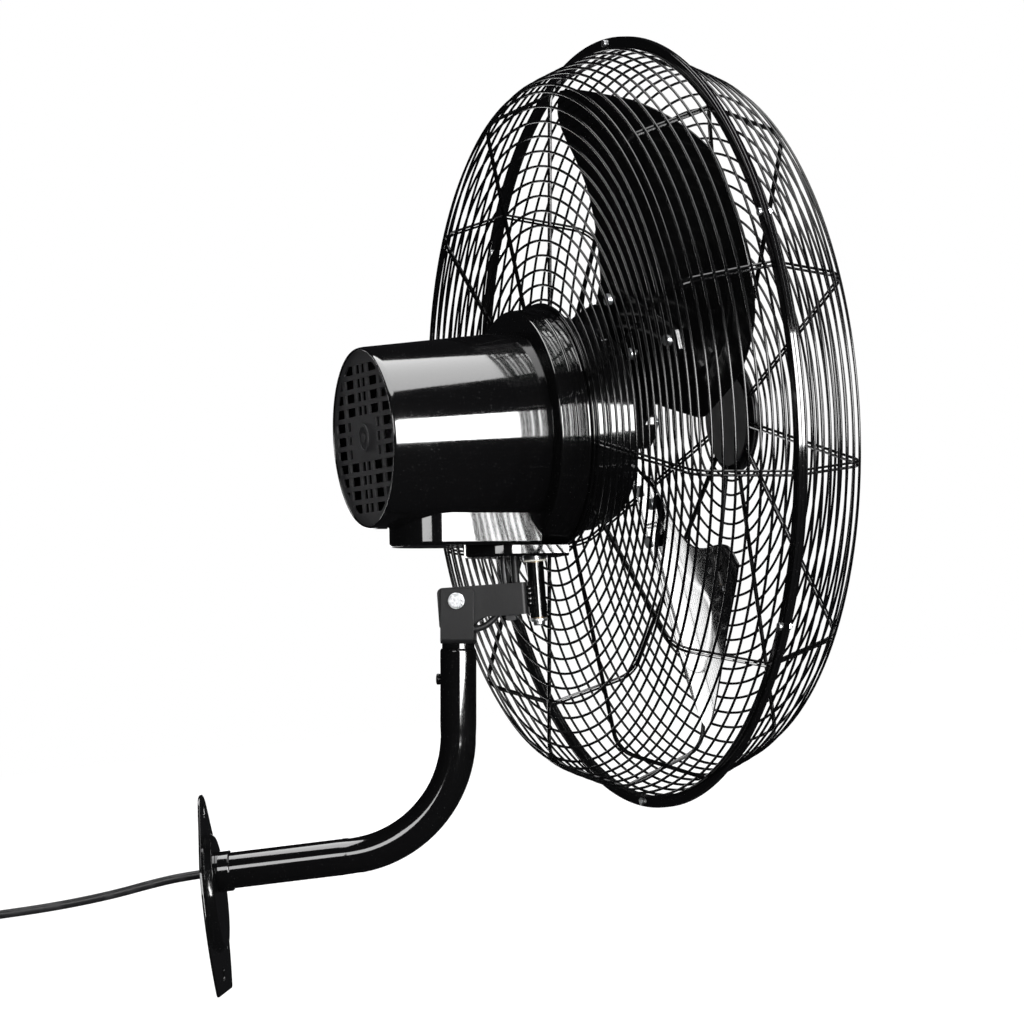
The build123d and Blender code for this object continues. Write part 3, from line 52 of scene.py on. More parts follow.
# ================================================================ camera, floor and light
# The fan is seen from beside its arm, against a white sweep. Large soft boxes stand beside, above and in
# front of it, and a low one beyond it shines where the lower blade mirrors it. Everything else that the
# black paint could mirror is dark.
bpy.ops.object.camera_add()
camera = bpy.context.object
camera.matrix_world = Matrix((
    (0.07248, -0.01716, -0.99722, -3.5920),
    (-0.98947, -0.12684, -0.06973, -0.6097),
    (-0.12529, 0.99177, -0.02618, 0.2573),
    (0, 0, 0, 1),
))
camera.data.lens = 123.05
camera.data.sensor_width = 36
camera.data.clip_end = 60
bpy.context.scene.camera = camera

FLOOR, FLOOR_SIZE = -0.1040, 16
bpy.ops.mesh.primitive_plane_add(size=FLOOR_SIZE, location=(0, 0, FLOOR))
floor = bpy.context.object
floor.name = "floor"
# a low shelf behind the wall plate, outside the picture, carries the spare cord
SHELF_TOP, SHELF_X, SHELF_Y, SHELF_WIDTH, SHELF_DEPTH = -0.0006, 0.06, 0.36, 0.24, 0.19
bpy.ops.mesh.primitive_cube_add(size=1, location=(SHELF_X, SHELF_Y, (FLOOR + SHELF_TOP) / 2))
shelf = bpy.context.object
shelf.name = "shelf"
shelf.scale = (SHELF_WIDTH, SHELF_DEPTH, SHELF_TOP - FLOOR)
bpy.ops.object.transform_apply(location=True, rotation=False, scale=True)

sweep_paint = bpy.data.materials.new("sweep_paint")
sweep_paint.use_nodes = True
sweep_shader = sweep_paint.node_tree.nodes["Principled BSDF"]
sweep_shader.inputs["Base Color"].default_value = (0.05, 0.05, 0.05, 1)
sweep_shader.inputs["Roughness"].default_value = 0.9
sweep_shader.inputs["Emission Color"].default_value = (1, 1, 1, 1)
sweep_shader.inputs["Emission Strength"].default_value = 1.0
for stage_piece in (floor, shelf):
    stage_piece.data.materials.append(sweep_paint)
    stage_piece.visible_glossy = False

# the camera sees the sweep's white all round, and the paint mirrors a dark room
world = bpy.data.worlds.new("studio")
bpy.context.scene.world = world
world.use_nodes = True
world_nodes, world_links = world.node_tree.nodes, world.node_tree.links
world_nodes.clear()
ray = world_nodes.new("ShaderNodeLightPath")
dark_room = world_nodes.new("ShaderNodeBackground")
dark_room.inputs["Color"].default_value = (0.010, 0.010, 0.011, 1)
white_sweep = world_nodes.new("ShaderNodeBackground")
white_sweep.inputs["Color"].default_value = (1, 1, 1, 1)
sky = world_nodes.new("ShaderNodeMixShader")
world_out = world_nodes.new("ShaderNodeOutputWorld")
world_links.new(ray.outputs["Is Camera Ray"], sky.inputs[0])
world_links.new(dark_room.outputs[0], sky.inputs[1])
world_links.new(white_sweep.outputs[0], sky.inputs[2])
world_links.new(sky.outputs[0], world_out.inputs[0])
bpy.context.scene.view_settings.view_transform = "Standard"

# every lamp points at the middle of the head
HEAD_MIDDLE = Vector((0, -0.36, 0.42))
for light_name, shape, place, width, height, watts in (
    ("key_box", "RECTANGLE", (-2.14, -1.92, 0.49), 2.0, 1.32, 200),
    ("side_box", "RECTANGLE", (-2.68, 0.52, 1.00), 1.1, 0.95, 24),
    ("overhead_box", "ELLIPSE", (-0.36, -0.56, 3.00), 2.1, 3.6, 115),
    ("front_box", "RECTANGLE", (0.60, -3.00, 1.20), 1.2, 1.6, 30),
    ("sweep_glow", "RECTANGLE", (3.34, 1.02, 0.20), 1.55, 1.6, 23),
):
    bpy.ops.object.light_add(type="AREA", location=place)
    box_light = bpy.context.object
    box_light.name = light_name
    box_light.data.shape = shape
    box_light.data.size, box_light.data.size_y = width, height
    box_light.data.energy = watts
    box_light.rotation_mode = "QUATERNION"
    box_light.rotation_quaternion = (HEAD_MIDDLE - Vector(place)).to_track_quat("-Z", "Y")
    box_light.visible_camera = False


# ================================================================ supply cord
# A round black mains lead leaves the arm through the wall plate, sags a little and is wound up on
# the shelf behind it, held by a tie, with its moulded two-pin plug on top of the coil.
class Signal:
    """One output in a finish's node tree; arithmetic on it adds Math nodes."""

    def __init__(self, finish, socket):
        self.finish, self.socket = finish, socket

    def maths(self, operation, other):
        return self.finish.node("ShaderNodeMath", {"operation": operation}, {0: self, 1: other})

    def __add__(self, other):
        return self.maths("ADD", other)

    def __mul__(self, other):
        return self.maths("MULTIPLY", other)

    __radd__, __rmul__ = __add__, __mul__


class Finish:
    """A procedural material: its Principled shader and the nodes that feed it."""

    def __init__(self, name, colour, roughness, **sockets):
        self.material = bpy.data.materials.new(name)
        self.material.use_nodes = True
        self.tree = self.material.node_tree
        self.shader = self.tree.nodes["Principled BSDF"]
        self.place = self.node("ShaderNodeTexCoord", output="Object")
        self.set(base_color=(*colour, 1), roughness=roughness, **sockets)

    def node(self, kind, settings=None, inputs=None, output=0):
        """A new node: its settings come first, then the values or links of its sockets."""
        made = self.tree.nodes.new(kind)
        for setting, value in (settings or {}).items():
            setattr(made, setting, value)
        for socket, value in (inputs or {}).items():
            self.feed(made.inputs[socket], value)
        return Signal(self, made.outputs[output])

    def feed(self, socket, value):
        if isinstance(value, Signal):
            self.tree.links.new(value.socket, socket)
        else:
            socket.default_value = value

    def set(self, **sockets):
        """Feed the shader's sockets, named in small letters."""
        for name, value in sockets.items():
            title = name.replace("_", " ").title().replace("Ior", "IOR")
            self.feed(self.shader.inputs[title], value)

    def stretched(self, x, y, z):
        """Object coordinates scaled on each axis."""
        return self.node("ShaderNodeMapping", {}, {"Vector": self.place, "Scale": (x, y, z)})

    def noise(self, scale, detail=2, place=None):
        inputs = {"Vector": place or self.place, "Scale": scale, "Detail": detail}
        return self.node("ShaderNodeTexNoise", {}, inputs)

    def ramp(self, value, low, high):
        """0 below low, 1 above high, a straight slope between."""
        inputs = {"Value": value, "From Min": low, "From Max": high}
        return self.node("ShaderNodeMapRange", {"clamp": True}, inputs)

    def blend(self, mask, under, over):
        """Colour that goes from one to the other by a mask. Sockets 6 and 7 are a Mix node's colours."""
        inputs = {0: mask, 6: (*under, 1), 7: (*over, 1)}
        return self.node("ShaderNodeMix", {"data_type": "RGBA"}, inputs, output=2)

    def bump(self, height, distance):
        self.set(normal=self.node("ShaderNodeBump", {}, {"Height": height, "Distance": distance}))


def lead_sheath(name, colour):
    """Flexible PVC: dull, with a fine drawn skin and paler rubbed patches."""
    sheath = Finish(name, colour, 0.4)
    rubbed = sheath.ramp(sheath.noise(60, 4), 0.48, 0.72)
    sheath.set(base_color=sheath.blend(rubbed * 0.5, colour, tuple(3 * level for level in colour)),
               roughness=rubbed * 0.18 + 0.34)
    sheath.bump(sheath.noise(1400, 2), 0.00008)
    return sheath


def chosen(piece):
    """Make a piece the only one that the operators act on."""
    bpy.ops.object.select_all(action="DESELECT")
    piece.select_set(True)
    bpy.context.view_layer.objects.active = piece
    return piece


def linked(name, data):
    """Put a mesh or curve into the scene as a chosen piece."""
    piece = bpy.data.objects.new(name, data)
    bpy.context.collection.objects.link(piece)
    return chosen(piece)


def round_curve(name, radius, facets, steps=12, capped=True):
    """A curve with no line yet, which gives its lines a round section of this radius."""
    curve = bpy.data.curves.new(name, "CURVE")
    curve.dimensions = "3D"
    curve.bevel_depth = radius
    curve.bevel_resolution = facets
    curve.resolution_u = steps
    curve.use_fill_caps = capped
    return curve


def smooth_line(curve, route):
    """Add a NURBS spline with a route's points as its control points."""
    spline = curve.splines.new("NURBS")
    spline.points.add(len(route) - 1)
    for point, place in zip(spline.points, route):
        point.co = (*place, 1)
    spline.order_u = 3
    spline.use_endpoint_u = True
    return spline


def lead(name, route, diameter):
    """A cord's or cable's curve through its route's control points, with a round sheath."""
    curve = round_curve(name, diameter / 2, 4, 8)
    smooth_line(curve, route)
    return linked(name, curve)


def mount_on(body, piece, finish, slot, *nodes):
    """Colour a finished piece, let it ride on its body and stand for its CAD solids."""
    piece.select_set(False)
    piece.data.materials.clear()
    piece.data.materials.append(finish.material)
    if body:
        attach(piece, body)
    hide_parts(*nodes)
    return piece


CORD_D = 0.009
cord_route = [(0, 0, 0.021), (0, 0.030, 0.0204), (0, 0.062, 0.0168), (0, 0.097, 0.0116), (0, 0.134, 0.0080),
              (0, 0.173, 0.0056), (0, 0.212, 0.0046), (0, 0.252, 0.0040), (0, 0.291, 0.0040)]
# half turns of the coil: radius and rise of each, winding in on one layer and out on the next
HALF_TURNS = ((0.0603, 0), (0.0555, 0), (0.0507, 0), (0.0459, 0), (0.0411, 0), (0.0363, 0.0096),
              (0.0387, 0), (0.0459, 0), (0.0507, 0), (0.0555, 0))
POINTS_A_HALF = 8
COIL_Y, LEAD_END_Y = 0.300, 0.309
turn_x, heading, level = 0.0, 1, 0.0040
for radius, rise in HALF_TURNS:
    reach = radius / math.cos(math.pi / 2 / POINTS_A_HALF)
    for n in range(POINTS_A_HALF):
        angle = math.pi * (n + 0.5) / POINTS_A_HALF
        cord_route.append((turn_x + heading * (radius - reach * math.cos(angle)),
                           COIL_Y + heading * reach * math.sin(angle),
                           level + rise * (1 - math.cos(angle)) / 2))
    turn_x, heading, level = turn_x + 2 * radius * heading, -heading, level + rise
cord_route.append((turn_x, LEAD_END_Y, level))
cord_sheath = lead_sheath("cord_sheath", (0.006, 0.006, 0.0065))
cord = lead("mains_lead", cord_route, CORD_D)
mount_on("mount", cord, cord_sheath, "cord_sheath", "supply_cord", "cord_coil")

SOFT_ANGLE = 28


def eased(piece, width, angle=SOFT_ANGLE):
    """Round the edges sharper than an angle, and shade the piece smooth with its flats kept flat."""
    chosen(piece)
    rounding = piece.modifiers.new("rounding", "BEVEL")
    rounding.width, rounding.segments = width, 2
    rounding.limit_method, rounding.angle_limit = "ANGLE", math.radians(angle)
    rounding.harden_normals = True
    rounding.use_clamp_overlap = True
    bpy.ops.object.modifier_apply(modifier="rounding")
    bpy.ops.object.shade_smooth_by_angle(angle=math.radians(angle + 6))
    flats = piece.modifiers.new("flats", "WEIGHTED_NORMAL")
    flats.mode, flats.weight, flats.keep_sharp = "FACE_AREA", 100, True
    bpy.ops.object.modifier_apply(modifier="flats")
    return piece


def taken_over(node, name, edge):
    """A copy of a CAD solid's mesh, merged, with whole flats and eased edges."""
    piece = linked(name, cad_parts[node].data.copy())
    bpy.ops.object.mode_set(mode="EDIT")
    bpy.ops.mesh.select_all(action="SELECT")
    bpy.ops.mesh.remove_doubles(threshold=1e-6)
    bpy.ops.mesh.dissolve_limited(angle_limit=math.radians(0.6))
    bpy.ops.object.mode_set(mode="OBJECT")
    return eased(piece, edge)


def fitted(body, node, name, finish, slot, edge):
    """Mount a piece that keeps its CAD solid's shape, with edges eased by this width."""
    return mount_on(body, taken_over(node, name, edge), finish, slot, node)


plug_plastic = lead_sheath("plug_plastic", (0.008, 0.008, 0.0085))
plug = fitted("mount", "plug_body", "moulded_plug", plug_plastic, "cord_sheath", edge=0.0008)
pin_plating = Finish("pin_plating", (0.62, 0.60, 0.55), 0.22, metallic=1.0)
pin_plating.set(roughness=pin_plating.noise(300, 3) * 0.25 + 0.12)
pins = fitted("mount", "plug_pins", "round_pins", pin_plating, "pin_metal", edge=0.0004)
tie_plastic = lead_sheath("tie_plastic", (0.010, 0.010, 0.010))
tie = fitted("mount", "cord_tie", "coil_tie", tie_plastic, "black_plastic", edge=0.0003)
rubber = lead_sheath("grommet_rubber", (0.010, 0.010, 0.010))
fitted("mount", "cord_grommet", "tube_grommet", rubber, "black_rubber", edge=0.0005)


# ================================================================ wall plate and arm
# Pressed steel plate with a hollow oval boss, a collar welded on it and one bent tube. All are sprayed
# together in gloss black enamel, which shows a slight orange peel and a few rubbed spots.
def enamel(name, colour, roughness, peel=0.00002):
    """Sprayed gloss black: a clear hard skin with a faint orange peel, dust nibs and hazy wipe marks."""
    paint = Finish(name, colour, roughness, coat_weight=0.6, coat_roughness=0.04, ior=1.5)
    haze = paint.ramp(paint.noise(9, 5), 0.45, 0.8)
    nibs = paint.ramp(paint.noise(900, 1), 0.74, 0.78)
    paint.set(base_color=paint.blend(nibs * 0.5, colour, (0.05, 0.05, 0.05)),
              roughness=haze * 0.10 + nibs * 0.2 + roughness)
    paint.bump(paint.noise(260, 2) + nibs * 0.6, peel)
    return paint


black_gloss = enamel("black_gloss", (0.0015, 0.0015, 0.0016), 0.07)
fitted("mount", "wall_plate", "pressed_plate", black_gloss, "black_gloss", edge=0.0006)
fitted("mount", "plate_collar", "welded_collar", black_gloss, "black_gloss", edge=0.0005)

# the tube is drawn along its axis; its wall is pressed in a little round the bend, most at the two ends
TUBE_R, TUBE_WALL, BEND_R, LEAN = 0.019, 0.002, 0.125, math.radians(7.2)
TUBE_HEIGHT, TUBE_BACK, STEM_LENGTH = 0.021, -0.0075, 0.184
CORNER = Vector((0, -0.2605, TUBE_HEIGHT))
BEND_STEPS = 22
ROUND, PRESSED, PRESSED_MOST = 1.0, 0.985, 0.975
PRESSED_TO, ROUND_FROM = 0.004, 0.012
stem_way = Vector((0, -math.sin(LEAN), math.cos(LEAN)))
cut_back = BEND_R * math.tan((math.pi / 2 - LEAN) / 2)
bend_start = CORNER + Vector((0, cut_back, 0))
bend_centre = bend_start + Vector((0, 0, BEND_R))
tube_axis = [(Vector((0, TUBE_BACK, TUBE_HEIGHT)), ROUND),
             (bend_start + Vector((0, ROUND_FROM, 0)), ROUND),
             (bend_start + Vector((0, PRESSED_TO, 0)), PRESSED)]
for n in range(BEND_STEPS + 1):
    turn = (math.pi / 2 - LEAN) * n / BEND_STEPS
    squeeze = PRESSED if 0 < n < BEND_STEPS else PRESSED_MOST
    tube_axis.append((bend_centre + BEND_R * Vector((0, -math.sin(turn), -math.cos(turn))), squeeze))
tube_axis += [(CORNER + stem_way * (cut_back + PRESSED_TO), PRESSED),
              (CORNER + stem_way * (cut_back + ROUND_FROM), ROUND),
              (CORNER + stem_way * STEM_LENGTH, ROUND)]
tube_curve = round_curve("bent_tube", TUBE_R, 10, capped=False)
tube_line = tube_curve.splines.new("POLY")
tube_line.points.add(len(tube_axis) - 1)
for point, (place, squeeze) in zip(tube_line.points, tube_axis):
    point.co, point.radius = (*place, 1), squeeze
linked("bent_tube", tube_curve)
bpy.ops.object.convert(target="MESH")
tube = bpy.context.object
bpy.ops.object.shade_smooth()
wall = tube.modifiers.new("wall", "SOLIDIFY")
wall.thickness, wall.offset = TUBE_WALL, -1
bpy.ops.object.modifier_apply(modifier="wall")
bpy.ops.object.shade_smooth_by_angle(angle=math.radians(30))
mount_on("mount", tube, black_gloss, "black_gloss", "arm_tube")
fitted("mount", "stem_cap", "turned_cap", black_gloss, "black_gloss", edge=0.0003)
fitted("mount", "set_screw", "pan_screw", black_gloss, "black_gloss", edge=0.0003)

# ================================================================ tilt joint
# Folded bracket and bent strap in a fine-textured satin black powder coat, clamped by a zinc-plated bolt.
# The strap is welded to the upright gloss black tube, with bronze bushes, that the head swings in.
TILT_PLACE, TILT_ANGLE = (0, -0.291721, 0.268136), math.radians(3)
tilt_frame = Matrix.Translation(TILT_PLACE) @ Matrix.Rotation(TILT_ANGLE, 4, "X")
powder_coat = Finish("black_satin", (0.005, 0.005, 0.005), 0.42, specular_ior_level=0.28)
grit = powder_coat.noise(1500, 2)
grit_tops = powder_coat.ramp(grit, 0.5, 0.8)
powder_coat.set(base_color=powder_coat.blend(grit_tops, (0.0035, 0.0035, 0.0037), (0.012, 0.012, 0.013)),
                roughness=powder_coat.noise(40, 4) * 0.16 + 0.30)
powder_coat.bump(grit, 0.00006)
fitted("mount", "clevis", "folded_bracket", powder_coat, "black_satin", edge=0.0006)
fitted("tilt", "tilt_arm", "bent_strap", powder_coat, "black_satin", edge=0.0006)
fitted("tilt", "anchor_post", "link_post", powder_coat, "black_satin", edge=0.0003)
fitted("tilt", "pivot_tube", "swing_tube", black_gloss, "black_gloss", edge=0.0004)

# a short lumpy weld run on each side holds the strap to the tube
WELD_R, WELD_LUMPS, WELD_STEP, LUMP = 0.0036, 9, 0.0027, 0.0010
WELD_X, WELD_Y, WELD_LOW = 0.0118, -0.0742, -0.0115
THIN, FAT, WELD_END = 0.7, 1.25, 0.5
welds = round_curve("weld_runs", WELD_R, 3)
for side in (-1, 1):
    places = [(side * (WELD_X + LUMP * (n % 2)), WELD_Y - LUMP * (n % 2), WELD_LOW + WELD_STEP * n)
              for n in range(WELD_LUMPS)]
    run = smooth_line(welds, [tilt_frame @ Vector(place) for place in places])
    for n, point in enumerate(run.points):
        point.radius = (THIN, FAT)[n % 2] if 0 < n < WELD_LUMPS - 1 else WELD_END
linked("weld_runs", welds)
bpy.ops.object.convert(target="MESH")
weld_runs = bpy.context.object
bpy.ops.object.shade_smooth()
mount_on("tilt", weld_runs, black_gloss, "black_gloss")
fitted("tilt", "cable_clip", "guide_clip", plug_plastic, "black_plastic", edge=0.0005)
zinc = Finish("zinc", (0.72, 0.73, 0.74), 0.3, metallic=1.0)
cloud = zinc.noise(500, 4)
zinc.set(base_color=zinc.blend(cloud, (0.34, 0.35, 0.36), (0.80, 0.81, 0.82)), roughness=cloud * 0.3 + 0.18)
zinc.bump(zinc.noise(420, 3), 0.00045)
fitted("mount", "tilt_bolt", "clamp_bolt", zinc, "zinc", edge=0.0004)
fitted("mount", "tilt_nut", "clamp_nut", zinc, "zinc", edge=0.0004)


def dressed(finish, *nodes):
    """Give CAD solids whose shape is right this finish."""
    for node in nodes:
        for material_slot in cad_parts[node].material_slots:
            material_slot.material = finish.material


bronze = Finish("bronze", (0.20, 0.15, 0.10), 0.35, metallic=1.0)
bronze.set(roughness=bronze.noise(700, 4) * 0.3 + 0.22)
nylon = Finish("nylon", (0.70, 0.68, 0.60), 0.45)
nylon.set(roughness=nylon.noise(300, 3) * 0.2 + 0.35)
dressed(bronze, "pivot_bushes")
dressed(nylon, "thrust_washer")

# ================================================================ cables at the joints
# The lead runs on inside the tube, comes out of the cap between the bracket's ears, passes under the
# clip and climbs to the gland under the lower tray. Each free stretch runs across one joint.
CABLE_D, CAP_MOUTH = 0.0067, 0.208
SWING_PLACE, HEAD_TURN = (0, -0.082, 0.1706), math.radians(26.2)
stem_frame = Matrix.Translation(CORNER) @ Matrix.Rotation(LEAN, 4, "X")
head_frame = tilt_frame @ Matrix.Translation(SWING_PLACE) @ Matrix.Rotation(HEAD_TURN, 4, "Z")


def jumper(name, route, node):
    """A short mesh lead along a NURBS route, from one body to the next."""
    line = lead(name + "_line", route, 0)
    drawn = bpy.data.meshes.new_from_object(line)
    line.data.bevel_depth = CABLE_D / 2
    piece = linked(name, bpy.data.meshes.new_from_object(line))
    bpy.data.objects.remove(line)
    bpy.ops.object.shade_smooth()
    mount_on(None, piece, cord_sheath, "cord_sheath", node)
    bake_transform(piece)


mouth = tilt_frame.inverted() @ stem_frame @ Vector((0, 0, CAP_MOUTH))
clevis_route = [tilt_frame @ Vector(place) for place in
                (mouth, (0, -0.003, -0.029), (0.0005, -0.020, -0.031), (0.0015, -0.034, -0.024),
                 (0.002, -0.043, -0.013))]
gland = head_frame @ Vector((0.020, 0.027, -0.1306))
gland_below = head_frame @ Vector((0.020, 0.027, -0.1446))
head_route = [clevis_route[-1], tilt_frame @ Vector((0.003, -0.049, -0.001)),
              tilt_frame @ Vector((0.0045, -0.050, 0.012)), gland_below, gland]
jumper("bracket_lead", clevis_route, "clevis_cable")
jumper("tray_lead", head_route, "head_cable")
dressed(cord_sheath, "arm_cable")

# ================================================================ swinging head: trays and oscillator
# Two pressed trays under the motor cover, gloss black. The geared motor on the upper one turns a crank,
# whose link pulls on the post of the strap, so that the whole head swings about the upright pin.
fitted("head", "gearbox_cover", "upper_tray", black_gloss, "black_gloss", edge=0.0006)
fitted("head", "oscillator_tray", "lower_tray", black_gloss, "black_gloss", edge=0.0005)
fitted("head", "cable_gland", "tray_gland", rubber, "black_rubber", edge=0.0003)
steel = Finish("steel", (0.45, 0.45, 0.46), 0.3, metallic=1.0)
turning = steel.noise(400, 3)
steel.set(base_color=steel.blend(turning, (0.36, 0.36, 0.37), (0.55, 0.55, 0.56)),
          roughness=turning * 0.25 + 0.2)
steel.bump(turning, 0.00003)
fitted("head", "pivot_shaft", "swing_pin", steel, "steel", edge=0.0004)
fitted("head", "shaft_clip", "pin_clip", zinc, "zinc", edge=0.0002)
fitted("crank", "crank_disc", "turning_crank", zinc, "zinc", edge=0.0003)
fitted("link", "oscillator_link", "pull_link", zinc, "zinc", edge=0.0003)
dressed(zinc, "gear_motor")
dressed(plug_plastic, "capacitor")

# ================================================================ motor
# Drawn steel cover with a rolled rim round a moulded vent, a cast front housing whose drum closes the
# cover and whose stepped bell reaches into the guard, and the plain inner parts of the motor.
fan_frame = head_frame @ Matrix.Rotation(math.radians(90), 4, "X")


def spun(name, sections, steps):
    """Closed sections, as (radius, height) corners, drawn upright and spun round the fan's axis."""
    bpy.ops.mesh.primitive_circle_add(vertices=len(sections[0]))
    piece = bpy.context.object
    piece.name = name
    bpy.ops.object.mode_set(mode="EDIT")
    for section in sections[1:]:
        bpy.ops.mesh.primitive_circle_add(vertices=len(section))
    bpy.ops.object.mode_set(mode="OBJECT")
    corners = [corner for section in sections for corner in section]
    for vertex, (radius, height) in zip(piece.data.vertices, corners):
        vertex.co = (radius, 0, height)
    bpy.ops.object.mode_set(mode="EDIT")
    bpy.ops.mesh.select_all(action="SELECT")
    bpy.ops.mesh.spin(steps=steps, angle=2 * math.pi, center=(0, 0, 0), axis=(0, 0, 1))
    bpy.ops.mesh.select_all(action="SELECT")
    bpy.ops.mesh.remove_doubles(threshold=1e-6)
    bpy.ops.mesh.normals_make_consistent(inside=False)
    bpy.ops.object.mode_set(mode="OBJECT")
    piece.data.transform(fan_frame)
    return piece


# every section's corners are (radius, height), in metres, with the height forward of the swing axis
TURN_STEPS, FINE_ANGLE = 128, 20
COVER_REAR, COVER_FRONT = Vector((0.0923, -0.1715)), Vector((0.1010, -0.011))
COVER_WALL, COVER_STEPS = 0.0025, 6
cover_line = [COVER_REAR.lerp(COVER_FRONT, n / COVER_STEPS) for n in range(COVER_STEPS + 1)]
cover_section = [(0.0892, -0.1772), (0.0898, -0.1778), (0.0906, -0.1777), (0.0914, -0.1765),
                 (0.0919, -0.1745), *cover_line,
                 *[(radius - COVER_WALL, height) for radius, height in reversed(cover_line)],
                 (0.0892, -0.174)]
cover = eased(spun("drawn_cover", [cover_section], TURN_STEPS), 0.0005, FINE_ANGLE)
mount_on("head", cover, black_gloss, "black_gloss", "motor_cover")

vent_plastic = Finish("black_plastic", (0.014, 0.014, 0.015), 0.5)
spark = vent_plastic.noise(1800, 2)
vent_cloud = vent_plastic.noise(30, 4)
vent_plastic.set(base_color=vent_plastic.blend(vent_cloud, (0.010, 0.010, 0.011), (0.022, 0.022, 0.023)),
                 roughness=spark * 0.2 + 0.36)
vent_plastic.bump(spark, 0.00005)
fitted("head", "rear_vent_grille", "vent_disc", vent_plastic, "black_plastic", edge=0.0004)

housing_section = [(0.070, -0.011), (0.1206, -0.011), (0.1216, -0.0103), (0.1220, -0.009),
                   (0.1232, 0.0045), (0.1222, 0.0050), (0.1224, 0.0064), (0.1237, 0.0070),
                   (0.1246, 0.0175), (0.1252, 0.0192), (0.1246, 0.0206), (0.1236, 0.021),
                   (0.1155, 0.021), (0.1155, 0.042), (0.1135, 0.0445), (0.1080, 0.046),
                   (0.1080, 0.062), (0.1062, 0.0645), (0.1005, 0.066), (0.1005, 0.081),
                   (0.0990, 0.0842), (0.0970, 0.085), (0.011, 0.085), (0.011, 0.082),
                   (0.020, 0.082), (0.020, 0.070), (0.024, 0.070), (0.024, 0.081),
                   (0.097, 0.081), (0.0974, 0.063), (0.1044, 0.0605), (0.1049, 0.0445),
                   (0.1120, 0.041), (0.1120, 0.018), (0.121, 0.018), (0.1187, -0.008),
                   (0.070, -0.008)]
housing = eased(spun("drum_and_bell", [housing_section], TURN_STEPS), 0.0008, FINE_ANGLE)
mount_on("head", housing, black_gloss, "black_gloss", "front_housing")

aluminium = Finish("cast_aluminium", (0.42, 0.42, 0.43), 0.5, metallic=1.0)
aluminium.set(roughness=aluminium.noise(200, 4) * 0.3 + 0.35)
aluminium.bump(aluminium.noise(500, 3), 0.0001)
laminations = Finish("laminations", (0.22, 0.22, 0.23), 0.45, metallic=1.0)
layers = laminations.node("ShaderNodeTexWave", {"bands_direction": "Y"},
                          {"Vector": laminations.place, "Scale": 320})
laminations.set(base_color=laminations.blend(layers, (0.12, 0.12, 0.13), (0.34, 0.34, 0.35)),
                roughness=layers * 0.2 + 0.35)
copper = Finish("copper", (0.55, 0.22, 0.08), 0.35, metallic=0.8)
strands = copper.noise(1.0, 3, copper.stretched(120, 900, 900))
copper.set(base_color=copper.blend(strands, (0.30, 0.10, 0.035), (0.70, 0.30, 0.11)),
           roughness=strands * 0.3 + 0.25)
copper.bump(strands, 0.0003)
dressed(aluminium, "rotor_core")
# painted shade: the end shield behind the vent takes the dark satin black instead of a cast metal look, so the
# vent slots show dark like the shaded inside of the motor
dressed(powder_coat, "rear_end_shield")
dressed(laminations, "stator_core")
dressed(copper, "windings")
dressed(steel, "stator_bolts", "bearings", "mount_screws")
fitted("rotor", "motor_shaft", "turned_shaft", steel, "steel", edge=0.0004)

# ================================================================ guards
# Two welded cages of 2.7 mm wire, dipped in gloss black: closed rings held by twelve hairpin ribs, each
# cage welded to a flat rim, and the rims screwed face to face. The rear one is screwed to the drum.
WIRE = 0.0027
RING_SIDES, RING_STEPS = 8, 144
RIM_PLANE, RIM_RADIUS, RIM_INNER, RIM_SHEET = 0.115, 0.400, 0.388, 0.0035
REAR_FACE, REAR_BEND = 0.0245, 0.350
FRONT_BEND_PLANE, FRONT_BEND, CAP_PLANE, CAP_RADIUS = 0.205, 0.353, 0.232, 0.058
RING_PITCH, REAR_FACE_RINGS, FRONT_FACE_RINGS = 0.0152, 16, 19
SIDE_RINGS, FIRST_SIDE_RING, RINGS_ON_BEND = 8, 0.35, 2
RIBS, RIB_START, RIB_GAP, RIB_NOSE = 12, math.radians(11), 0.00205, 0.0030
RIB_BEND = 0.030
wire_dip = Finish("black_wire", (0.0012, 0.0012, 0.0013), 0.16, specular_ior_level=0.42)
wire_haze = wire_dip.ramp(wire_dip.noise(30, 4), 0.4, 0.8)
wire_dip.set(roughness=wire_haze * 0.14 + 0.11)
wire_dip.bump(wire_dip.noise(700, 2), 0.00003)


def front_plane(radius):
    """Height of the front face at a radius: a shallow dome from the bend up to the cap."""
    share = (FRONT_BEND - radius) / (FRONT_BEND - CAP_RADIUS)
    return FRONT_BEND_PLANE + (CAP_PLANE - FRONT_BEND_PLANE) * share


def wire_section(radius, height):
    """The wire's round section where a ring crosses the drawing plane."""
    turns = [2 * math.pi * (n + 0.5) / RING_SIDES for n in range(RING_SIDES)]
    return [(radius + WIRE / 2 * math.cos(turn), height + WIRE / 2 * math.sin(turn)) for turn in turns]


def ring_set(name, places, node):
    """All the rings of one face or side, smooth round wire."""
    piece = chosen(spun(name, [wire_section(*place) for place in places], RING_STEPS))
    bpy.ops.object.shade_smooth()
    mount_on("head", piece, wire_dip, "black_wire", node)


def on_bend(rib, way, out):
    """Place of a ring that lies out from the ribs' rounded bend, at a way past its corner."""
    inner, corner, foot = (Vector(place) for place in rib)
    towards, away = (corner - inner).normalized(), (foot - corner).normalized()
    reach = RIB_BEND * math.tan(towards.angle(away) / 2)
    share = (way + reach) / (2 * reach)
    place = corner - towards * reach * (1 - share) ** 2 + away * reach * share ** 2
    along = (towards * (1 - share) + away * share).normalized()
    return tuple(place + Vector((along.y, -along.x)) * out)


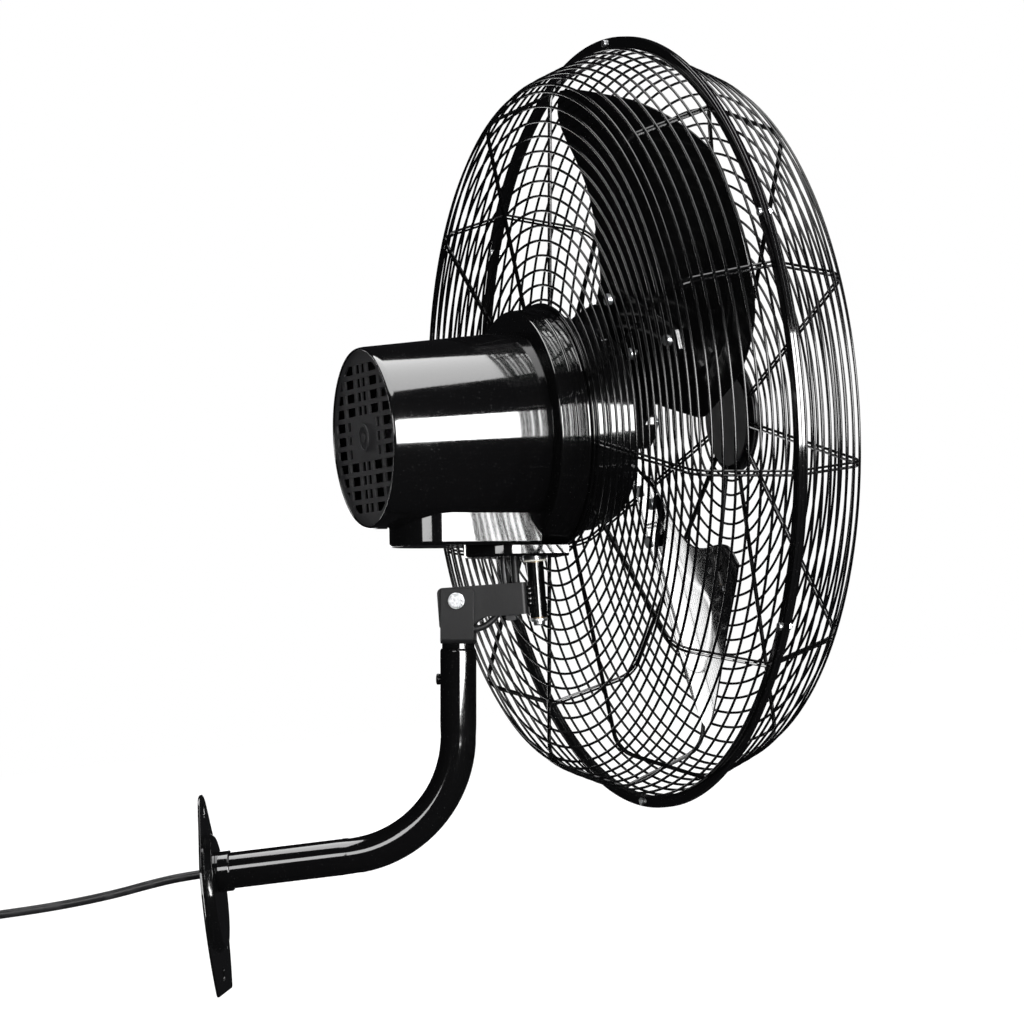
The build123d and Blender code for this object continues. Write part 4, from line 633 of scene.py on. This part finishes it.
def side_rings(rib, bend_radius, bend_plane, edge_plane, out):
    """Places of a side's rings: the first ones follow the bend, the others the straight side."""
    pitch = (Vector(rib[2]) - Vector(rib[1])).length / SIDE_RINGS
    places = [on_bend(rib, (n + FIRST_SIDE_RING) * pitch, out) for n in range(RINGS_ON_BEND)]
    for n in range(RINGS_ON_BEND, SIDE_RINGS):
        share = (n + FIRST_SIDE_RING) / SIDE_RINGS
        places.append((bend_radius + (RIM_INNER - bend_radius) * share + WIRE,
                       bend_plane + (edge_plane - bend_plane) * share))
    return places


# a rib's inner end, its corner and its foot on the rim, as (radius, height)
rear_rib = ((0.1255, 0.0272), (0.3509, 0.0272), (0.3874, 0.1145))
front_rib = (*[(radius, front_plane(radius) - WIRE / 2) for radius in (0.044, 0.3534)], (0.3874, 0.1155))
# a face's outermost ring already lies on the bend
SEAT_RING, REAR_START, FRONT_START = 0.1262, 0.1324, CAP_RADIUS + 0.008
rear_radii = [SEAT_RING, *[REAR_START + RING_PITCH * n for n in range(REAR_FACE_RINGS - 1)]]
front_radii = [FRONT_START + RING_PITCH * n for n in range(FRONT_FACE_RINGS)]
rear_places = [*[(radius, REAR_FACE) for radius in rear_radii[:-1]],
               on_bend(rear_rib, rear_radii[-1] - rear_rib[1][0], WIRE)]
front_places = [*[(radius, front_plane(radius) + WIRE / 2) for radius in front_radii[:-1]],
                on_bend(front_rib, front_radii[-1] - front_rib[1][0], -WIRE)]
ring_set("rear_face_wires", rear_places, "rear_face_rings")
ring_set("rear_side_wires",
         side_rings(rear_rib, REAR_BEND, REAR_FACE, RIM_PLANE - RIM_SHEET, WIRE), "rear_side_rings")
ring_set("front_face_wires", front_places, "front_face_rings")
ring_set("front_side_wires",
         side_rings(front_rib, FRONT_BEND, FRONT_BEND_PLANE, RIM_PLANE + RIM_SHEET, -WIRE), "front_side_rings")


def hairpins(name, rib, node):
    """Twelve ribs, each of two wires side by side round the bend, joined round the inner end."""
    inner, corner, foot = (Vector(place) for place in rib)
    reach = RIB_BEND * math.tan((corner - inner).angle(foot - corner) / 2)
    profile = (foot, foot.lerp(corner, 0.3), corner + (foot - corner).normalized() * 2 * reach, corner,
               corner + (inner - corner).normalized() * 2 * reach, corner.lerp(inner, 0.5), inner)
    there = [(radius, -RIB_GAP, height) for radius, height in profile]
    nose = [(inner.x - RIB_NOSE, gap, inner.y) for gap in (-RIB_GAP, RIB_GAP)]
    back = [(radius, RIB_GAP, height) for radius, height in reversed(profile)]
    curve = round_curve(name, WIRE / 2, 1, 5)
    for n in range(RIBS):
        turned = fan_frame @ Matrix.Rotation(RIB_START + 2 * math.pi * n / RIBS, 4, "Z")
        smooth_line(curve, [turned @ Vector(place) for place in there + nose + back])
    linked(name, curve)
    bpy.ops.object.convert(target="MESH")
    piece = bpy.context.object
    bpy.ops.object.shade_smooth_by_angle(angle=math.radians(50))
    mount_on("head", piece, wire_dip, "black_wire", node)


hairpins("rear_rib_wires", rear_rib, "rear_guard_ribs")
hairpins("front_rib_wires", front_rib, "front_guard_ribs")


def turned_part(name, section, steps, edge, finish, node):
    """A spun part of the guards, with edges eased by this width."""
    mount_on("head", eased(spun(name, [section], steps), edge), finish, "black_gloss", node)


def flat_ring(inner, outer, low, high):
    """Section of a flat ring between two radii and two heights."""
    return [(inner, low), (outer, low), (outer, high), (inner, high)]


RIM_STEPS, CAP_STEPS, EDGE = 180, 96, 0.0005
for rim_name, low, node in (("rear_rim", RIM_PLANE - RIM_SHEET, "rear_flange"),
                            ("front_rim", RIM_PLANE, "front_flange")):
    rim_section = flat_ring(RIM_INNER, RIM_RADIUS, low, low + RIM_SHEET)
    turned_part(rim_name, rim_section, RIM_STEPS, EDGE, black_gloss, node)
# the ring that seats the rear cage on the drum's shoulder
seat_section = flat_ring(0.1165, 0.1290, 0.021, 0.02315)
turned_part("guard_seat", seat_section, TURN_STEPS, EDGE, black_gloss, "guard_mount_ring")
fitted("head", "guard_screws", "rim_screws", zinc, "zinc", edge=0.0003)
fitted("head", "guard_nuts", "rim_nuts", zinc, "zinc", edge=0.0003)
# a pressed cap closes the middle of the front cage
cap_section = [(0, 0.22895), (0.050, 0.22895), (0.050, 0.23095), (0.030, 0.23095), (0.030, 0.2398),
               (0.0485, 0.2392), (0.0545, 0.2365), (0.055, 0.2339), (0.058, 0.2339), (0.058, 0.2365),
               (0.0568, 0.2396), (0.0540, 0.2416), (0.0500, 0.2425), (0.045, 0.2428), (0, 0.24285)]
turned_part("pressed_cap", cap_section, CAP_STEPS, 0.0004, powder_coat, "front_cap")

# ================================================================ rotor
# Three broad blades pressed from sheet, each with a raised panel inside its leading edge and tip, are
# riveted to the arms of a spider that a nut holds on the shaft. A blade's edges and its panel are given
# in millimetres, out from the shaft and then across.
blade_paint = enamel("black_blade", (0.0012, 0.0012, 0.0013), 0.10, 0.00001)
BLADES, BLADE_SHEET, BLADE_MIDDLE = 3, 0.0018, 144.1
LEADING_EDGE = ((71, -88), (96, -113), (119.5, -136.5), (140, -163), (155, -193), (161, -227), (162, -255),
                (164, -274), (170, -289), (187, -301))
TIP_EDGE = ((187, -301), (203, -287), (219, -270), (245, -239), (279, -196), (301, -160), (317, -125),
            (325, -96), (327, -74), (321, -54))
TRAILING_EDGE = ((82, 63), (90, 67.5), (103, 69), (119, 70.5), (142, 72.5), (168, 71.5), (201, 63.5),
                 (229, 51.5), (252, 34), (269, 17), (284, 0), (298, -18), (310, -36), (321, -54))
ROOT_EDGE = ((71, -88), (61.5, -52), (52.5, -6), (51.5, 12), (57, 26), (82, 63))
# the panel's fold line follows the leading edge and the tip, then runs back along the trailing edge
PANEL = ((88, -62), (120, -88), (152, -113), (178, -145), (196, -183), (213, -203), (236, -187),
         (258, -150), (267, -112), (262, -62), (252, -18), (228, 14), (196, 33), (150, 42), (112, 34),
         (96, 0))
PANEL_RISE, PANEL_SLOPE, PANEL_POINTS = 2.4, 9.0, 64
# the blade's surface: its height at LIFT_AT out, and how it is pitched, hollow, coned and wound
LIFT_AT, BLADE_LIFT, BLADE_PITCH, BLADE_HOLLOW = 200, 25.3, 0.384, 0.0006
BLADE_CONE, BLADE_WIND = 0.137, 0.00017
ACROSS, ALONG = 84, 110


def on_curve(points, share):
    """Point at a share of the way along a smooth curve through points (Catmull-Rom, by chord length)."""
    places = [Vector((x, y, 0)) for x, y in points]
    chords = [(after - before).length for before, after in zip(places, places[1:])]
    way = share * sum(chords)
    n = 0
    while n < len(chords) - 1 and way > chords[n]:
        way -= chords[n]
        n += 1
    t = min(way / chords[n], 1)
    near, far = places[n], places[n + 1]
    before = places[n - 1] if n else near * 2 - far
    after = places[n + 2] if n + 2 < len(places) else far * 2 - near
    return 0.5 * (2 * near + (far - before) * t + (2 * before - 5 * near + 4 * far - after) * t ** 2
                  + (3 * near - before - 3 * far + after) * t ** 3)


def blade_height(x, y):
    """Height of the blade's surface above the rim plane, in millimetres."""
    wound = BLADE_CONE + BLADE_WIND * y
    return BLADE_LIFT + BLADE_PITCH * y + BLADE_HOLLOW * y * y + (x - LIFT_AT) * wound


def fold_distance(x, y, corners):
    """Distance from a place to a closed line, and whether the place lies inside it."""
    place, nearest, inside = Vector((x, y, 0)), math.inf, False
    for (x0, y0), (x1, y1) in zip(corners, corners[1:] + corners[:1]):
        start, run = Vector((x0, y0, 0)), Vector((x1 - x0, y1 - y0, 0))
        t = min(max((place - start).dot(run) / run.length_squared, 0), 1)
        nearest = min(nearest, (place - start - run * t).length)
        if (y0 > y) != (y1 > y) and x < x0 + (y - y0) / (y1 - y0) * (x1 - x0):
            inside = not inside
    return nearest, inside


panel_line = [tuple(on_curve(PANEL + PANEL[:1], n / PANEL_POINTS))[:2] for n in range(PANEL_POINTS)]
root_front, root_back, tip_front, tip_back = [
    Vector((*place, 0)) for place in (LEADING_EDGE[0], TRAILING_EDGE[0], LEADING_EDGE[-1], TRAILING_EDGE[-1])]
bpy.ops.mesh.primitive_grid_add(x_subdivisions=ACROSS, y_subdivisions=ALONG, size=2)
blade = chosen(bpy.context.object)
blade.name = "pressed_blade"
# the grid is stretched between the blade's four edges, then given its height
for vertex in blade.data.vertices:
    across, along = (vertex.co.x + 1) / 2, (vertex.co.y + 1) / 2
    leading, trailing = on_curve(LEADING_EDGE, along), on_curve(TRAILING_EDGE, along)
    root, tip = on_curve(ROOT_EDGE, across), on_curve(TIP_EDGE, across)
    bilinear = root_front.lerp(root_back, across).lerp(tip_front.lerp(tip_back, across), along)
    place = leading.lerp(trailing, across) + root.lerp(tip, along) - bilinear
    gap, inside = fold_distance(place.x, place.y, panel_line)
    step = min(max(0.5 + (gap if inside else -gap) / PANEL_SLOPE, 0), 1)
    raised = PANEL_RISE * step * step * (3 - 2 * step)
    vertex.co = (place.x / 1000, place.y / 1000, RIM_PLANE + (blade_height(place.x, place.y) + raised) / 1000)
bpy.ops.object.mode_set(mode="EDIT")
bpy.ops.mesh.select_all(action="SELECT")
bpy.ops.mesh.normals_make_consistent(inside=False)
bpy.ops.object.mode_set(mode="OBJECT")
sheet_metal = blade.modifiers.new("sheet_metal", "SOLIDIFY")
sheet_metal.thickness, sheet_metal.offset = BLADE_SHEET, 0
bpy.ops.object.modifier_apply(modifier="sheet_metal")
for n in range(BLADES):
    one_blade = linked(f"blade_{n + 1}", blade.data.copy())
    turn = math.radians(BLADE_MIDDLE + 360 / BLADES * n)
    one_blade.data.transform(fan_frame @ Matrix.Rotation(turn, 4, "Z"))
    eased(one_blade, 0.0005, 50)
    bpy.ops.object.shade_smooth_by_angle(angle=math.radians(45))
    mount_on("rotor", one_blade, blade_paint, "black_blade", "blades")
bpy.data.objects.remove(blade)
fitted("rotor", "hub_spider", "cast_spider", blade_paint, "black_blade", edge=0.0006)
fitted("rotor", "blade_rivets", "rivets", zinc, "zinc", edge=0.0006)
fitted("rotor", "hub_nut", "locking_nut", zinc, "zinc", edge=0.0005)
